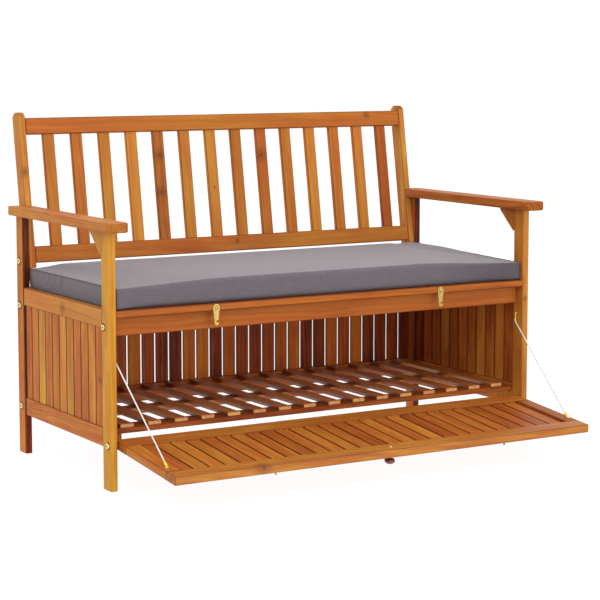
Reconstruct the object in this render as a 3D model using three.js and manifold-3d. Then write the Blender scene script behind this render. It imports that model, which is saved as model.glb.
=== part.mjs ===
// Two-seat garden storage bench: a slatted box with a drop-down front flap under a cushioned seat,
// flat armrests and a raked backrest of slats. Millimetres, +Z up, the front faces -Y, and right
// means +X. The flap hangs open on its two rope stays.

import * as THREE from 'three';
import { mergeVertices } from 'three/addons/utils/BufferGeometryUtils.js';
import Module from 'manifold-3d';

const wasm = await Module();
wasm.setup();

// ---------------------------------------------------------------- driving sizes

const overallWidth = 1200; // across the armrests
const frameDepth = 520; // front of the front legs to the back of the rear legs
const armHeight = 582; // underside of the armrests
const seatTop = 405.5; // top of the seat slats
const boxBottom = 97; // underside of the lower rails
const jointGap = 0.3; // clearance round tenons, in housings and between resting faces
const easedEdge = 1.5; // chamfer on sawn edges

const leg = { thick: 18, deep: 40, ease: 2, tenonThick: 8, tenonDeep: 26, tenonTall: 12 };
const arm = { wide: 55, thick: 22, overSide: 20, overFront: 40, overRear: 4, ease: 3 };
const armRound = { front: 16, rear: 8 };
const bracket = { reach: 60, drop: 55, land: 6, thick: 16 };
const sideRail = { thick: 16, tall: 43, aboveSeat: 2.5, tenonThick: 8, tenonTall: 27, tenonLong: 14 };
const sideBoard = { pitch: 40, gap: 3, thick: 10, tongue: 6 };
const backRail = { thick: 16, tall: 43, fromRear: 4 };
const backBoard = { wide: 33.4, gap: 5.6, thick: 6, tongue: 6, narrowest: 12 };
const apron = { thick: 17, tall: 43, fromFront: 26 };
const frontSlat = { wide: 55, fromFront: 2, round: 3 };
const seatSlat = { wide: 50, thick: 17, pitch: 65.6, fromRear: 4 };
const bearer = { thick: 20, tall: 40, outerFromLeg: 20, innerFromLeg: 382, lap: 1 };

const cleat = { wide: 36, tall: 24, top: 121, fromFrontLeg: 12, fromRearLeg: 2 };
const floorSlat = { wide: 33.5, thick: 7.5, pitch: 68.8, endFromLeg: 28.5, fromFront: 45, fromRear: 25 };
const batten = { thick: 11.9, frontWide: 60, frontAhead: 7, midWide: 44, rearWide: 45, endFromLeg: 2, lap: 1 };

const rake = THREE.MathUtils.degToRad(9.1);
const stile = { thick: 18, deep: 38, long: 380, crown: 12 };
const backrestRail = { thick: 20, tall: 40, lowUp: 12, belowCrown: 15.5 };
const backrestTenon = { thick: 10, tall: 26, long: 12 };
const backrestSlat = { count: 14, wide: 30, thick: 12, setBack: 4, housing: 10 };
const cushion = { thick: 47, fromLeg: 6, fromFront: 10, underStile: 10, toStile: 0.4, corner: 14 };

const flapOpen = THREE.MathUtils.degToRad(95.7);
const flapPivot = { fromFront: 13, aboveBox: 5.5 };
const flap = { thick: 20, topGap: 2, hingeRail: 56, belowPivot: 10, outerRail: 42 };
const flapStile = { wide: 36, tenonThick: 8, tenonWide: 24, tenonLong: 12 };
const flapBoard = { wide: 34, gap: 4.7, thick: 10, tongue: 6, endGap: 5, narrowest: 12 };
const pivotBolt = { shank: 3, bore: 3.4, head: 9, headThick: 3.5, socket: 2.6, inFlap: 26 };
const collar = { radius: 8, thick: 3.2 }; // the spacer between leg and flap, on the pivot bolt
const knob = { radius: 12.5, neck: 6, flange: 7.5, long: 21, fromEdge: 21 };

const catchPin = { shank: 1.5, bore: 1.8, head: 2.2, headThick: 1.6, proud: 11, inWood: 12 };
const pinPlace = { fromEdge: 20, aside: 11 }; // below the flap's free edge, and right of the hook
const hookPlace = { fromLeg: 251, belowSeat: 9 };
const hook = { thick: 2, offFace: 0.4, eye: 8.5, half: 5, barb: 7, play: 1, heel: 6 };
const hookScrew = { shank: 2.2, bore: 2.6, head: 4.6, headThick: 2.2, inWood: 14 };

const stay = { rope: 1.5, tab: 4.5, tabThick: 2, hole: 1.6, ferrule: 2.5, ferruleLong: 13, bend: 4 };
const stayTop = { fromFront: 27, belowSeat: 85.5 }; // the upper screws, on the front legs' inner faces
const stayLow = { fromEdge: 64, fromSide: 13 }; // the lower screws, on the flap's inner face

// ---------------------------------------------------------------- places worked out from them

const legOuterX = overallWidth / 2 - arm.overSide;
const legInnerX = legOuterX - leg.thick;
const legMidX = legOuterX - leg.thick / 2;
const frontY = -frameDepth / 2;
const rearY = frameDepth / 2;
const betweenX = legInnerX - jointGap; // half length of what fits between the legs
const sideEndY = rearY - leg.deep - jointGap; // half length of what fits between front and rear leg
const seatUnderside = seatTop - seatSlat.thick;
const underSeat = seatUnderside - jointGap;
const sideTopRailBottom = seatTop + sideRail.aboveSeat - sideRail.tall;
const backRailFront = rearY - backRail.fromRear - backRail.thick;
const frontSlatY = frontY + frontSlat.fromFront;
const cushionBottom = seatTop + jointGap;
const stileFrontY = rearY - leg.deep; // at the stiles' feet, which stand just clear of the cushion
const stileFootZ = cushionBottom + cushion.thick + cushion.toStile + cushion.underStile * Math.tan(rake);

const pivotY = frontY + flapPivot.fromFront;
const pivotZ = boxBottom + flapPivot.aboveBox;
const flapHalfWidth = betweenX - collar.thick - jointGap;
const flapHalf = flap.thick / 2;
const flapEdge = seatUnderside - flap.topGap - pivotZ; // pivot to the flap's free edge
const hingeRailEdge = flap.hingeRail - flap.belowPivot;
const outerRailEdge = flapEdge - flap.outerRail;
const flapStileX = flapHalfWidth - flapStile.wide;
const hookX = legInnerX - hookPlace.fromLeg;
const hookZ = seatTop - hookPlace.belowSeat;
const pinUp = flapEdge - pinPlace.fromEdge;

// ---------------------------------------------------------------- materials

function paint(color, roughness, metalness = 0) {
  return new THREE.MeshStandardMaterial({ color, roughness, metalness });
}

const honey = paint(0xb4763a, 0.5);
const russet = paint(0x9c5a2c, 0.5);
const walnut = paint(0x7a3f1e, 0.55);
const straw = paint(0xc48a48, 0.5);
const brass = paint(0xc2a05a, 0.35, 0.9);
const paleMetal = paint(0xd9cfae, 0.4, 0.8);
const burgundy = paint(0x3a0d12, 0.2);
const ropeWhite = paint(0xeeeeea, 0.8);
const greyCloth = paint(0x8c868d, 0.95);

// ---------------------------------------------------------------- joining and cutting

function toManifold(geometry) {
  const bare = geometry.clone();
  bare.deleteAttribute('normal');
  bare.deleteAttribute('uv');
  const merged = mergeVertices(bare, 1e-4);
  const index = merged.index.array;
  const triVerts = [];
  for (let i = 0; i < index.length; i += 3) {
    const [a, b, c] = index.slice(i, i + 3);
    if (a !== b && b !== c && c !== a) triVerts.push(a, b, c);
  }
  return new wasm.Manifold(new wasm.Mesh({
    numProp: 3,
    vertProperties: new Float32Array(merged.attributes.position.array),
    triVerts: new Uint32Array(triVerts),
  }));
}

function toGeometry(solid) {
  const mesh = solid.getMesh();
  const geometry = new THREE.BufferGeometry();
  geometry.setAttribute('position', new THREE.BufferAttribute(mesh.vertProperties, 3));
  geometry.setIndex(new THREE.BufferAttribute(mesh.triVerts, 1));
  geometry.computeVertexNormals();
  return geometry;
}

function cut(geometry, tools) {
  return toGeometry(tools.reduce((solid, tool) => solid.subtract(toManifold(tool)), toManifold(geometry)));
}

function join(geometries) {
  return toGeometry(geometries.map(toManifold).reduce((solid, next) => solid.add(next)));
}

// ---------------------------------------------------------------- basic forms

// A square-edged block between two opposite corners.
function block([x0, y0, z0], [x1, y1, z1]) {
  const geometry = new THREE.BoxGeometry(x1 - x0, y1 - y0, z1 - z0);
  return geometry.translate((x0 + x1) / 2, (y0 + y1) / 2, (z0 + z1) / 2);
}

// The same form with a clearance all round, for mortises and housings.
function grown(geometry, by = jointGap) {
  geometry.computeBoundingBox();
  const size = geometry.boundingBox.getSize(new THREE.Vector3());
  const middle = geometry.boundingBox.getCenter(new THREE.Vector3());
  const bigger = geometry.clone().translate(-middle.x, -middle.y, -middle.z);
  bigger.scale(1 + (2 * by) / size.x, 1 + (2 * by) / size.y, 1 + (2 * by) / size.z);
  return bigger.translate(middle.x, middle.y, middle.z);
}

// Extrudes a shape drawn in (Y, Z) along X from x0 to x1, with chamfered ends.
function alongX(shape, x0, x1, ease = 0, curveSegments = 8) {
  const geometry = new THREE.ExtrudeGeometry(shape, {
    depth: x1 - x0 - 2 * ease, curveSegments, bevelEnabled: ease > 0,
    bevelSegments: 1, bevelSize: ease, bevelThickness: ease, bevelOffset: -ease,
  });
  return geometry.rotateX(Math.PI / 2).rotateZ(Math.PI / 2).translate(x0 + ease, 0, 0);
}

// A sawn piece between two opposite corners, with its long edges and its ends eased.
function sawn([x0, y0, z0], [x1, y1, z1], ease = easedEdge) {
  const [wide, deep, tall] = [x1 - x0, y1 - y0, z1 - z0];
  const long = Math.max(wide, deep, tall);
  const sides = { [tall]: [wide, deep], [deep]: [wide, tall], [wide]: [deep, tall] }[long];
  const [a, b] = sides.map((side) => side / 2);
  const section = new THREE.Shape([
    [a - ease, -b], [a, ease - b], [a, b - ease], [a - ease, b],
    [ease - a, b], [-a, b - ease], [-a, ease - b], [ease - a, -b],
  ].map(([x, y]) => new THREE.Vector2(x, y)));
  const piece = new THREE.ExtrudeGeometry(section, {
    depth: long - 2 * ease, bevelEnabled: true,
    bevelSegments: 1, bevelSize: ease / 2, bevelThickness: ease, bevelOffset: -ease / 2,
  }).translate(0, 0, ease - long / 2);
  if (long === wide) piece.rotateX(Math.PI / 2).rotateZ(Math.PI / 2);
  else if (long === deep) piece.rotateX(Math.PI / 2);
  return piece.translate((x0 + x1) / 2, (y0 + y1) / 2, (z0 + z1) / 2);
}

// A round bar along 'x', 'y' or 'z'.
function rod(radius, from, to, axis, sides = 20) {
  const bar = new THREE.CylinderGeometry(radius, radius, to - from, sides).translate(0, (from + to) / 2, 0);
  if (axis === 'x') bar.rotateZ(-Math.PI / 2);
  if (axis === 'z') bar.rotateX(Math.PI / 2);
  return bar;
}

// A turned piece from [radius, height] pairs that start and end on the axis. The height runs
// towards -Y, out of a front face.
function turned(profile, sides = 24) {
  return new THREE.LatheGeometry(profile.map(([r, z]) => new THREE.Vector2(r, z)), sides).rotateX(Math.PI);
}

function mirrored(geometry) {
  const copy = (geometry.index ? geometry.toNonIndexed() : geometry.clone()).scale(-1, 1, 1);
  const points = copy.attributes.position;
  const [second, third] = [new THREE.Vector3(), new THREE.Vector3()];
  for (let i = 0; i < points.count; i += 3) {
    second.fromBufferAttribute(points, i + 1);
    third.fromBufferAttribute(points, i + 2);
    points.setXYZ(i + 1, third.x, third.y, third.z);
    points.setXYZ(i + 2, second.x, second.y, second.z);
  }
  return copy;
}

// A rectangle with its own radius at each corner: front left, front right, rear right, rear left.
function roundedPlan(x0, y0, x1, y1, [frontLeft, frontRight, rearRight, rearLeft]) {
  const plan = new THREE.Shape();
  plan.absarc(x0 + frontLeft, y0 + frontLeft, frontLeft, Math.PI, Math.PI * 1.5, false);
  plan.absarc(x1 - frontRight, y0 + frontRight, frontRight, Math.PI * 1.5, Math.PI * 2, false);
  plan.absarc(x1 - rearRight, y1 - rearRight, rearRight, 0, Math.PI / 2, false);
  plan.absarc(x0 + rearLeft, y1 - rearLeft, rearLeft, Math.PI / 2, Math.PI, false);
  plan.closePath();
  return plan;
}

// Board spans laid from one wall at a fixed pitch, with the last one ripped to what is left.
function layBoards(from, to, { wide, gap, narrowest }) {
  const spans = [];
  for (let x = from; to - x >= narrowest; x += wide + gap) spans.push([x, Math.min(x + wide, to)]);
  return spans;
}

// ---------------------------------------------------------------- scene graph

const bench = new THREE.Group();

// The backrest's frame: origin at the foot of the stiles' front face, +Z up the slope.
const backrest = new THREE.Group();
backrest.position.set(0, stileFrontY, stileFootZ);
backrest.rotation.x = -rake;
backrest.updateMatrix();

// The flap's frame: origin on the pivot axis, +Z to the free edge, +Y out of the inner face.
const flapGroup = new THREE.Group();
flapGroup.position.set(0, pivotY, pivotZ);
flapGroup.rotation.x = flapOpen;
flapGroup.updateMatrix();
bench.add(backrest, flapGroup);

function add(parent, name, geometry, material, [x, y, z] = [0, 0, 0]) {
  const mesh = new THREE.Mesh(geometry, material);
  mesh.name = name;
  mesh.position.set(x, y, z);
  parent.add(mesh);
}

// The right-hand piece at +x and its mirror image at -x.
function addPair(parent, name, geometry, material, [x, y, z] = [0, 0, 0]) {
  add(parent, `${name}_right`, geometry, material, [x, y, z]);
  add(parent, `${name}_left`, mirrored(geometry), material, [-x, y, z]);
}

// ---------------------------------------------------------------- legs

// The tenon that a side rail sets into the leg, for a rail whose underside is at `bottom`.
function sideRailTenon(bottom, y0, y1) {
  const shoulder = (sideRail.tall - sideRail.tenonTall) / 2;
  return block(
    [legMidX - sideRail.tenonThick / 2, y0, bottom + shoulder],
    [legMidX + sideRail.tenonThick / 2, y1, bottom + sideRail.tall - shoulder],
  );
}

// The tenon on top of a leg, which is blind in the armrest.
function legTenon(legY) {
  return block(
    [legMidX - leg.tenonThick / 2, legY - leg.tenonDeep / 2, armHeight - easedEdge - leg.ease],
    [legMidX + leg.tenonThick / 2, legY + leg.tenonDeep / 2, armHeight + leg.tenonTall],
  );
}

function addLegs() {
  const mortise = (bottom, y) => grown(sideRailTenon(bottom, y - sideRail.tenonLong, y + sideRail.tenonLong));
  const legAt = (legY, innerFace) => {
    const [front, rear] = [legY - leg.deep / 2, legY + leg.deep / 2];
    const post = sawn([legInnerX, front, 0], [legOuterX, rear, armHeight - jointGap], leg.ease);
    const mortises = [boxBottom, sideTopRailBottom].map((bottom) => mortise(bottom, innerFace));
    return cut(join([post, legTenon(legY)]), mortises);
  };
  const front = legAt(frontY + leg.deep / 2, frontY + leg.deep);
  const rear = legAt(rearY - leg.deep / 2, rearY - leg.deep);
  const pivotBore = rod(pivotBolt.bore, legInnerX - 1, legOuterX + 1, 'x').translate(0, pivotY, pivotZ);
  addPair(bench, 'leg_front', cut(front, [pivotBore]), straw);
  addPair(bench, 'leg_rear', rear, honey);
}

// ---------------------------------------------------------------- box sides and back

function sideRailBlank(bottom) {
  const [inner, outer] = [legMidX - sideRail.thick / 2, legMidX + sideRail.thick / 2];
  const tip = sideEndY + sideRail.tenonLong - jointGap;
  return join([
    sawn([inner, -sideEndY, bottom], [outer, sideEndY, bottom + sideRail.tall]),
    sideRailTenon(bottom, -tip, tip),
  ]);
}

function addSides() {
  const boardTop = sideTopRailBottom + sideBoard.tongue;
  const [inner, outer] = [legMidX - sideBoard.thick / 2, legMidX + sideBoard.thick / 2];
  const span = frameDepth - 2 * leg.deep;
  const count = Math.round(span / sideBoard.pitch);
  const boards = Array.from({ length: count }, (_, i) => block(
    [inner, (i / count - 0.5) * span + sideBoard.gap / 2, boxBottom + sideRail.tall - sideBoard.tongue],
    [outer, ((i + 1) / count - 0.5) * span - sideBoard.gap / 2, boardTop],
  ));
  const groove = block(
    [inner - jointGap, -rearY, sideTopRailBottom - 1],
    [outer + jointGap, rearY, boardTop + jointGap],
  );
  addPair(bench, 'side_panel', join([sideRailBlank(boxBottom), ...boards]), russet);
  addPair(bench, 'side_top_rail', cut(sideRailBlank(sideTopRailBottom), [groove]), honey);
}

function addBack() {
  const rail = (bottom) => sawn(
    [-betweenX, backRailFront, bottom],
    [betweenX, backRailFront + backRail.thick, bottom + backRail.tall],
  );
  const topRailBottom = underSeat - backRail.tall;
  const boardTop = topRailBottom + backBoard.tongue;
  const middle = backRailFront + backRail.thick / 2;
  const [front, rear] = [middle - backBoard.thick / 2, middle + backBoard.thick / 2];
  const boards = layBoards(-betweenX, betweenX, backBoard).map(([x0, x1]) => block(
    [x0, front, boxBottom + backRail.tall - backBoard.tongue],
    [x1, rear, boardTop],
  ));
  const groove = block(
    [-legInnerX, front - jointGap, topRailBottom - 1],
    [legInnerX, rear + jointGap, boardTop + jointGap],
  );
  add(bench, 'back_panel', join([rail(boxBottom), ...boards]), russet);
  add(bench, 'back_top_rail', cut(rail(topRailBottom), [groove]), honey);
}

// ---------------------------------------------------------------- seat

function addApron() {
  const y = frontY + apron.fromFront;
  const board = sawn([-betweenX, y, underSeat - apron.tall], [betweenX, y + apron.thick, underSeat]);
  add(bench, 'front_apron', board, russet);
}

// The front slat is rounded over along both front edges and drilled for the hook screws.
function addFrontSlat() {
  const [y0, y1, r] = [frontSlatY, frontSlatY + frontSlat.wide, frontSlat.round];
  const section = new THREE.Shape();
  section.moveTo(y1, seatUnderside);
  section.lineTo(y1, seatTop);
  section.absarc(y0 + r, seatTop - r, r, Math.PI / 2, Math.PI, false);
  section.absarc(y0 + r, seatUnderside + r, r, Math.PI, Math.PI * 1.5, false);
  section.closePath();
  const screwHoles = [-hookX, hookX].map((x) => rod(
    hookScrew.bore, y0 - 1, y0 + hookScrew.inWood + 1, 'y', 12,
  ).translate(x, 0, hookZ));
  add(bench, 'front_seat_slat', cut(alongX(section, -betweenX, betweenX, 0, 3), screwHoles), honey);
}

// Lengthwise slats on four front-to-back bearers that butt against the apron and the back rail.
function addSeatDeck() {
  const [from, to] = [frontSlatY + frontSlat.wide, rearY - seatSlat.fromRear];
  const count = Math.round((to - from) / seatSlat.pitch);
  const slats = Array.from({ length: count }, (_, i) => {
    const y = to - (i / count) * (to - from);
    return sawn([-betweenX, y - seatSlat.wide, seatUnderside], [betweenX, y, seatTop]);
  });
  const bearerFront = frontY + apron.fromFront + apron.thick + jointGap;
  const bearerAt = (x, y, top) => block(
    [x - bearer.thick / 2, y, seatUnderside - bearer.tall],
    [x + bearer.thick / 2, backRailFront - jointGap, top],
  );
  const places = [legInnerX - bearer.outerFromLeg, legInnerX - bearer.innerFromLeg].flatMap((x) => [x, -x]);
  const bearers = places.flatMap((x) => [
    bearerAt(x, bearerFront, underSeat),
    bearerAt(x, from + jointGap, seatUnderside + bearer.lap),
  ]);
  add(bench, 'seat_deck', join([...slats, ...bearers]), russet);
}

function addCushion() {
  const [halfX, r] = [legInnerX - cushion.fromLeg, cushion.corner];
  const [front, rear] = [frontY + cushion.fromFront, stileFrontY + cushion.underStile];
  const plan = roundedPlan(-halfX, front, halfX, rear, [r, r, r, r]);
  const pad = new THREE.ExtrudeGeometry(plan, {
    depth: cushion.thick - 2 * leg.ease, curveSegments: 3, bevelEnabled: true,
    bevelSegments: 1, bevelSize: leg.ease, bevelThickness: leg.ease, bevelOffset: -leg.ease,
  });
  add(bench, 'seat_cushion', pad, greyCloth, [0, 0, cushionBottom + leg.ease]);
}

// ---------------------------------------------------------------- floor of the box

// Slats on three battens. The battens' ends lie on a cleat at each side.
function addFloor() {
  const battenBottom = cleat.top + jointGap;
  const slatBottom = battenBottom + batten.thick + jointGap;
  const [slatFront, slatRear] = [frontY + floorSlat.fromFront, rearY - floorSlat.fromRear];
  const lastX = legInnerX - floorSlat.endFromLeg - floorSlat.wide / 2;
  const count = 1 + Math.round((2 * lastX) / floorSlat.pitch);
  const slats = Array.from({ length: count }, (_, i) => {
    const x = lastX * ((2 * i) / (count - 1) - 1);
    return block(
      [x - floorSlat.wide / 2, slatFront, slatBottom],
      [x + floorSlat.wide / 2, slatRear, slatBottom + floorSlat.thick],
    );
  });
  const halfX = legInnerX - batten.endFromLeg;
  const bar = (y, wide, top) => block([-halfX, y, battenBottom], [halfX, y + wide, top]);
  const restTop = battenBottom + batten.thick;
  const middleBar = bar(-batten.midWide / 2, batten.midWide, slatBottom + batten.lap);
  add(bench, 'floor_slats', join([...slats, middleBar]), walnut);
  add(bench, 'floor_batten_front', bar(slatFront - batten.frontAhead, batten.frontWide, restTop), honey);
  add(bench, 'floor_batten_rear', bar(slatRear - batten.rearWide, batten.rearWide, restTop), walnut);

  const railInner = legMidX - sideRail.thick / 2 - jointGap;
  addPair(bench, 'floor_cleat', sawn(
    [railInner - cleat.wide, frontY + leg.deep + cleat.fromFrontLeg, cleat.top - cleat.tall],
    [railInner, rearY - leg.deep - cleat.fromRearLeg, cleat.top],
  ), straw);
}

// ---------------------------------------------------------------- backrest

const stileInnerX = betweenX - stile.thick;
const backrestTopUp = stile.long - backrestRail.belowCrown - backrestRail.tall;

// A raked stile with a square foot and an arched top.
function stileBlank() {
  const half = stile.deep / 2;
  const radius = (half ** 2 + stile.crown ** 2) / (2 * stile.crown);
  const sweep = Math.asin(half / radius);
  const profile = new THREE.Shape();
  profile.moveTo(0, 0);
  profile.lineTo(stile.deep, 0);
  profile.absarc(half, stile.long - radius, radius, Math.PI / 2 - sweep, Math.PI / 2 + sweep, false);
  profile.closePath();
  return alongX(profile, stileInnerX, betweenX, easedEdge, 6);
}

function railTenon(railUp) {
  const tip = stileInnerX + backrestTenon.long;
  const shoulder = (backrestRail.tall - backrestTenon.tall) / 2;
  const set = (backrestRail.thick - backrestTenon.thick) / 2;
  return block(
    [-tip, set, railUp + shoulder],
    [tip, backrestRail.thick - set, railUp + backrestRail.tall - shoulder],
  );
}

function backrestSlatBlank(index) {
  const gap = (2 * stileInnerX - backrestSlat.count * backrestSlat.wide) / (backrestSlat.count + 1);
  const x = -stileInnerX + gap + index * (backrestSlat.wide + gap);
  return sawn(
    [x, backrestSlat.setBack, backrestRail.lowUp + backrestRail.tall - backrestSlat.housing],
    [x + backrestSlat.wide, backrestSlat.setBack + backrestSlat.thick, backrestTopUp + backrestSlat.housing],
  );
}

// Every slat is housed in a mortise of its own in both rails. The rails are tenoned into the stiles.
function addBackrest() {
  const railUps = [backrestRail.lowUp, backrestTopUp];
  const mortises = railUps.map((up) => grown(railTenon(up)));
  addPair(backrest, 'backrest_stile', cut(stileBlank(), mortises), honey);

  const slats = Array.from({ length: backrestSlat.count }, (_, i) => backrestSlatBlank(i));
  const housings = slats.map((slat) => grown(slat));
  const halfX = stileInnerX - jointGap;
  const [bottomRail, topRail] = railUps.map((up) => cut(
    join([sawn([-halfX, 0, up], [halfX, backrestRail.thick, up + backrestRail.tall]), railTenon(up)]),
    housings,
  ));
  add(backrest, 'backrest_bottom_rail', bottomRail, russet);
  add(backrest, 'backrest_top_rail', topRail, russet);
  slats.forEach((slat, i) => {
    const tone = [honey, russet, straw][(2 * i) % 3];
    add(backrest, `backrest_slat_${String(i + 1).padStart(2, '0')}`, slat, tone);
  });
}

// ---------------------------------------------------------------- armrests

// A flat plank with rounded corners, mortised for both legs and notched round the raked stile.
function addArmrests() {
  const outerX = legOuterX + arm.overSide;
  const plan = roundedPlan(
    outerX - arm.wide, frontY - arm.overFront, outerX, rearY + arm.overRear,
    [armRound.front, armRound.front, armRound.rear, armRound.rear],
  );
  const plank = new THREE.ExtrudeGeometry(plan, {
    depth: arm.thick - 2 * arm.ease, curveSegments: 4, bevelEnabled: true,
    bevelSegments: 2, bevelSize: arm.ease, bevelThickness: arm.ease, bevelOffset: -arm.ease,
  }).translate(0, 0, armHeight + arm.ease);
  const mortises = [frontY + leg.deep / 2, rearY - leg.deep / 2].map((y) => grown(legTenon(y)));
  const notch = grown(stileBlank()).applyMatrix4(backrest.matrix);
  addPair(bench, 'armrest', cut(plank, [...mortises, notch]), honey);
}

// A triangular gusset in the corner between the front leg and the armrest.
function addBrackets() {
  const [y, top] = [frontY + leg.deep + jointGap, armHeight - jointGap];
  const gusset = new THREE.Shape();
  gusset.moveTo(y, top);
  gusset.lineTo(y, top - bracket.drop);
  gusset.lineTo(y + bracket.land, top - bracket.drop);
  gusset.lineTo(y + bracket.reach, top - bracket.land);
  gusset.lineTo(y + bracket.reach, top);
  gusset.closePath();
  const plate = alongX(gusset, legMidX - bracket.thick / 2, legMidX + bracket.thick / 2, 1);
  addPair(bench, 'armrest_bracket', plate, russet);
}

// ---------------------------------------------------------------- flap

// The tenons at the two ends of the right-hand flap stile.
function flapTenons() {
  const middle = flapHalfWidth - flapStile.wide / 2;
  const tenon = (from, to) => block(
    [middle - flapStile.tenonWide / 2, -flapStile.tenonThick / 2, from],
    [middle + flapStile.tenonWide / 2, flapStile.tenonThick / 2, to],
  );
  return [
    tenon(hingeRailEdge - flapStile.tenonLong, hingeRailEdge + 2),
    tenon(outerRailEdge - 2, outerRailEdge + flapStile.tenonLong),
  ];
}

function addFlapFrame() {
  const tenons = flapTenons();
  const mortises = tenons.map((tenon) => grown(tenon)).flatMap((tool) => [tool, mirrored(tool)]);
  const upright = sawn(
    [flapStileX, -flapHalf, hingeRailEdge + jointGap],
    [flapHalfWidth, flapHalf, outerRailEdge - jointGap],
  );
  addPair(flapGroup, 'flap_stile', join([upright, ...tenons]), honey);

  const boardTop = outerRailEdge + flapBoard.tongue;
  const spans = layBoards(flapBoard.endGap - flapStileX, flapStileX - jointGap, flapBoard);
  const infill = spans.map(([x0, x1]) => block(
    [-x1, -flapBoard.thick / 2, hingeRailEdge - flapBoard.tongue],
    [-x0, flapBoard.thick / 2, boardTop],
  ));
  const hingeRail = sawn(
    [-flapHalfWidth, -flapHalf, -flap.belowPivot],
    [flapHalfWidth, flapHalf, hingeRailEdge],
  );
  const bore = rod(pivotBolt.bore, flapHalfWidth - pivotBolt.inFlap - 2, flapHalfWidth + 1, 'x');
  const lowerPart = cut(join([hingeRail, ...infill]), [...mortises, bore, mirrored(bore)]);
  add(flapGroup, 'flap_hinge_rail', lowerPart, russet);

  const outerRail = sawn([-flapHalfWidth, -flapHalf, outerRailEdge], [flapHalfWidth, flapHalf, flapEdge]);
  const groove = block(
    [-flapStileX, -flapBoard.thick / 2 - jointGap, outerRailEdge - 1],
    [flapStileX, flapBoard.thick / 2 + jointGap, boardTop + jointGap],
  );
  const pinHoles = [-hookX, hookX].map((x) => rod(
    catchPin.bore, -flapHalf - 1, catchPin.inWood + 1 - flapHalf, 'y', 12,
  ).translate(x + pinPlace.aside, 0, pinUp));
  add(flapGroup, 'flap_outer_rail', cut(outerRail, [...mortises, groove, ...pinHoles]), honey);
}

// A turned mushroom knob on the flap's front face.
function addKnob() {
  const { radius: r, neck, flange, long } = knob;
  const shape = turned([
    [0, 0], [flange, 0], [flange, long * 0.07], [neck, long * 0.14], [neck, long * 0.3],
    [r * 0.75, long * 0.38], [r * 0.96, long * 0.5], [r, long * 0.62], [r * 0.93, long * 0.76],
    [r * 0.72, long * 0.89], [r * 0.38, long * 0.975], [0, long],
  ]);
  add(flapGroup, 'flap_knob', shape, burgundy, [0, -flapHalf - jointGap, flapEdge - knob.fromEdge]);
}

function addCatchPins() {
  const { shank, head, headThick, proud } = catchPin;
  const inside = catchPin.inWood - jointGap;
  const pin = turned([
    [0, -inside], [shank, -inside], [shank, proud - headThick], [head, proud - headThick],
    [head, proud - headThick / 4], [head * 0.7, proud], [0, proud],
  ], 12);
  add(flapGroup, 'catch_pin_left', pin, paleMetal, [pinPlace.aside - hookX, -flapHalf, pinUp]);
  add(flapGroup, 'catch_pin_right', pin, paleMetal, [pinPlace.aside + hookX, -flapHalf, pinUp]);
}

// A socket head outside the leg, a spacer collar between leg and flap, and a shank in the hinge rail.
function addPivotBolts() {
  const { shank, head, headThick, socket, inFlap } = pivotBolt;
  const [tip, face, end] = [flapHalfWidth - inFlap, legOuterX + jointGap, legOuterX + jointGap + headThick];
  const bolt = turned([
    [0, tip], [shank, tip], [shank, betweenX - collar.thick], [collar.radius, betweenX - collar.thick],
    [collar.radius, betweenX], [shank, betweenX], [shank, face],
    [head, face], [head, end - 1], [head - 1, end], [socket, end], [socket, face + 1], [0, face + 1],
  ], 20).rotateZ(Math.PI / 2);
  addPair(bench, 'pivot_bolt', bolt, paleMetal, [0, pivotY, pivotZ]);
}

// ---------------------------------------------------------------- hooks

// Drawn from the front with its screw at the origin: an eye, a tapering shank, and a notch cut as
// an arc about the screw, so that it swings over the catch pin from the left.
function hookPlate() {
  const pinPath = Math.hypot(hookZ - pivotZ - pinUp, pinPlace.aside);
  const notchRadius = pinPath - catchPin.shank - hook.play;
  const barbRadius = pinPath + catchPin.shank + hook.play;
  const tip = barbRadius + hook.heel;
  const angleAt = (x, radius) => Math.asin(x / radius) - Math.PI / 2;
  const plate = new THREE.Shape();
  plate.absarc(0, 0, hook.eye, 0, Math.PI, false);
  plate.lineTo(-hook.half, -notchRadius);
  plate.quadraticCurveTo(-hook.half, -tip, 0, -tip);
  plate.quadraticCurveTo(hook.barb, -tip, hook.barb, -Math.sqrt(barbRadius ** 2 - hook.barb ** 2));
  plate.absarc(0, 0, barbRadius, angleAt(hook.barb, barbRadius), angleAt(0, barbRadius), true);
  plate.absarc(0, 0, notchRadius, angleAt(0, notchRadius), angleAt(hook.half, notchRadius), false);
  plate.closePath();
  const eyeHole = new THREE.Path().absarc(0, 0, hookScrew.bore, 0, Math.PI * 2, true);
  plate.holes.push(eyeHole);
  return new THREE.ExtrudeGeometry(plate, {
    depth: hook.thick, bevelEnabled: false, curveSegments: 6,
  }).rotateX(Math.PI / 2);
}

function hookScrewShape() {
  const { shank, head, headThick, inWood } = hookScrew;
  const under = hook.offFace + hook.thick + jointGap;
  return turned([
    [0, -inWood], [shank, shank - inWood], [shank, under], [head, under],
    [head * 0.9, under + headThick * 0.5], [head * 0.5, under + headThick * 0.9], [0, under + headThick],
  ], 16);
}

function addHooks() {
  const [plate, screw] = [hookPlate(), hookScrewShape()];
  [['left', -hookX], ['right', hookX]].forEach(([side, x]) => {
    add(bench, `hook_${side}`, plate, brass, [x, frontSlatY - hook.offFace, hookZ]);
    add(bench, `hook_screw_${side}`, screw, brass, [x, frontSlatY, hookZ]);
  });
}

// ---------------------------------------------------------------- rope stays

const ferruleStart = new THREE.Vector3(0, stay.ferrule, -stay.hole - stay.tabThick / 2);

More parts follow.
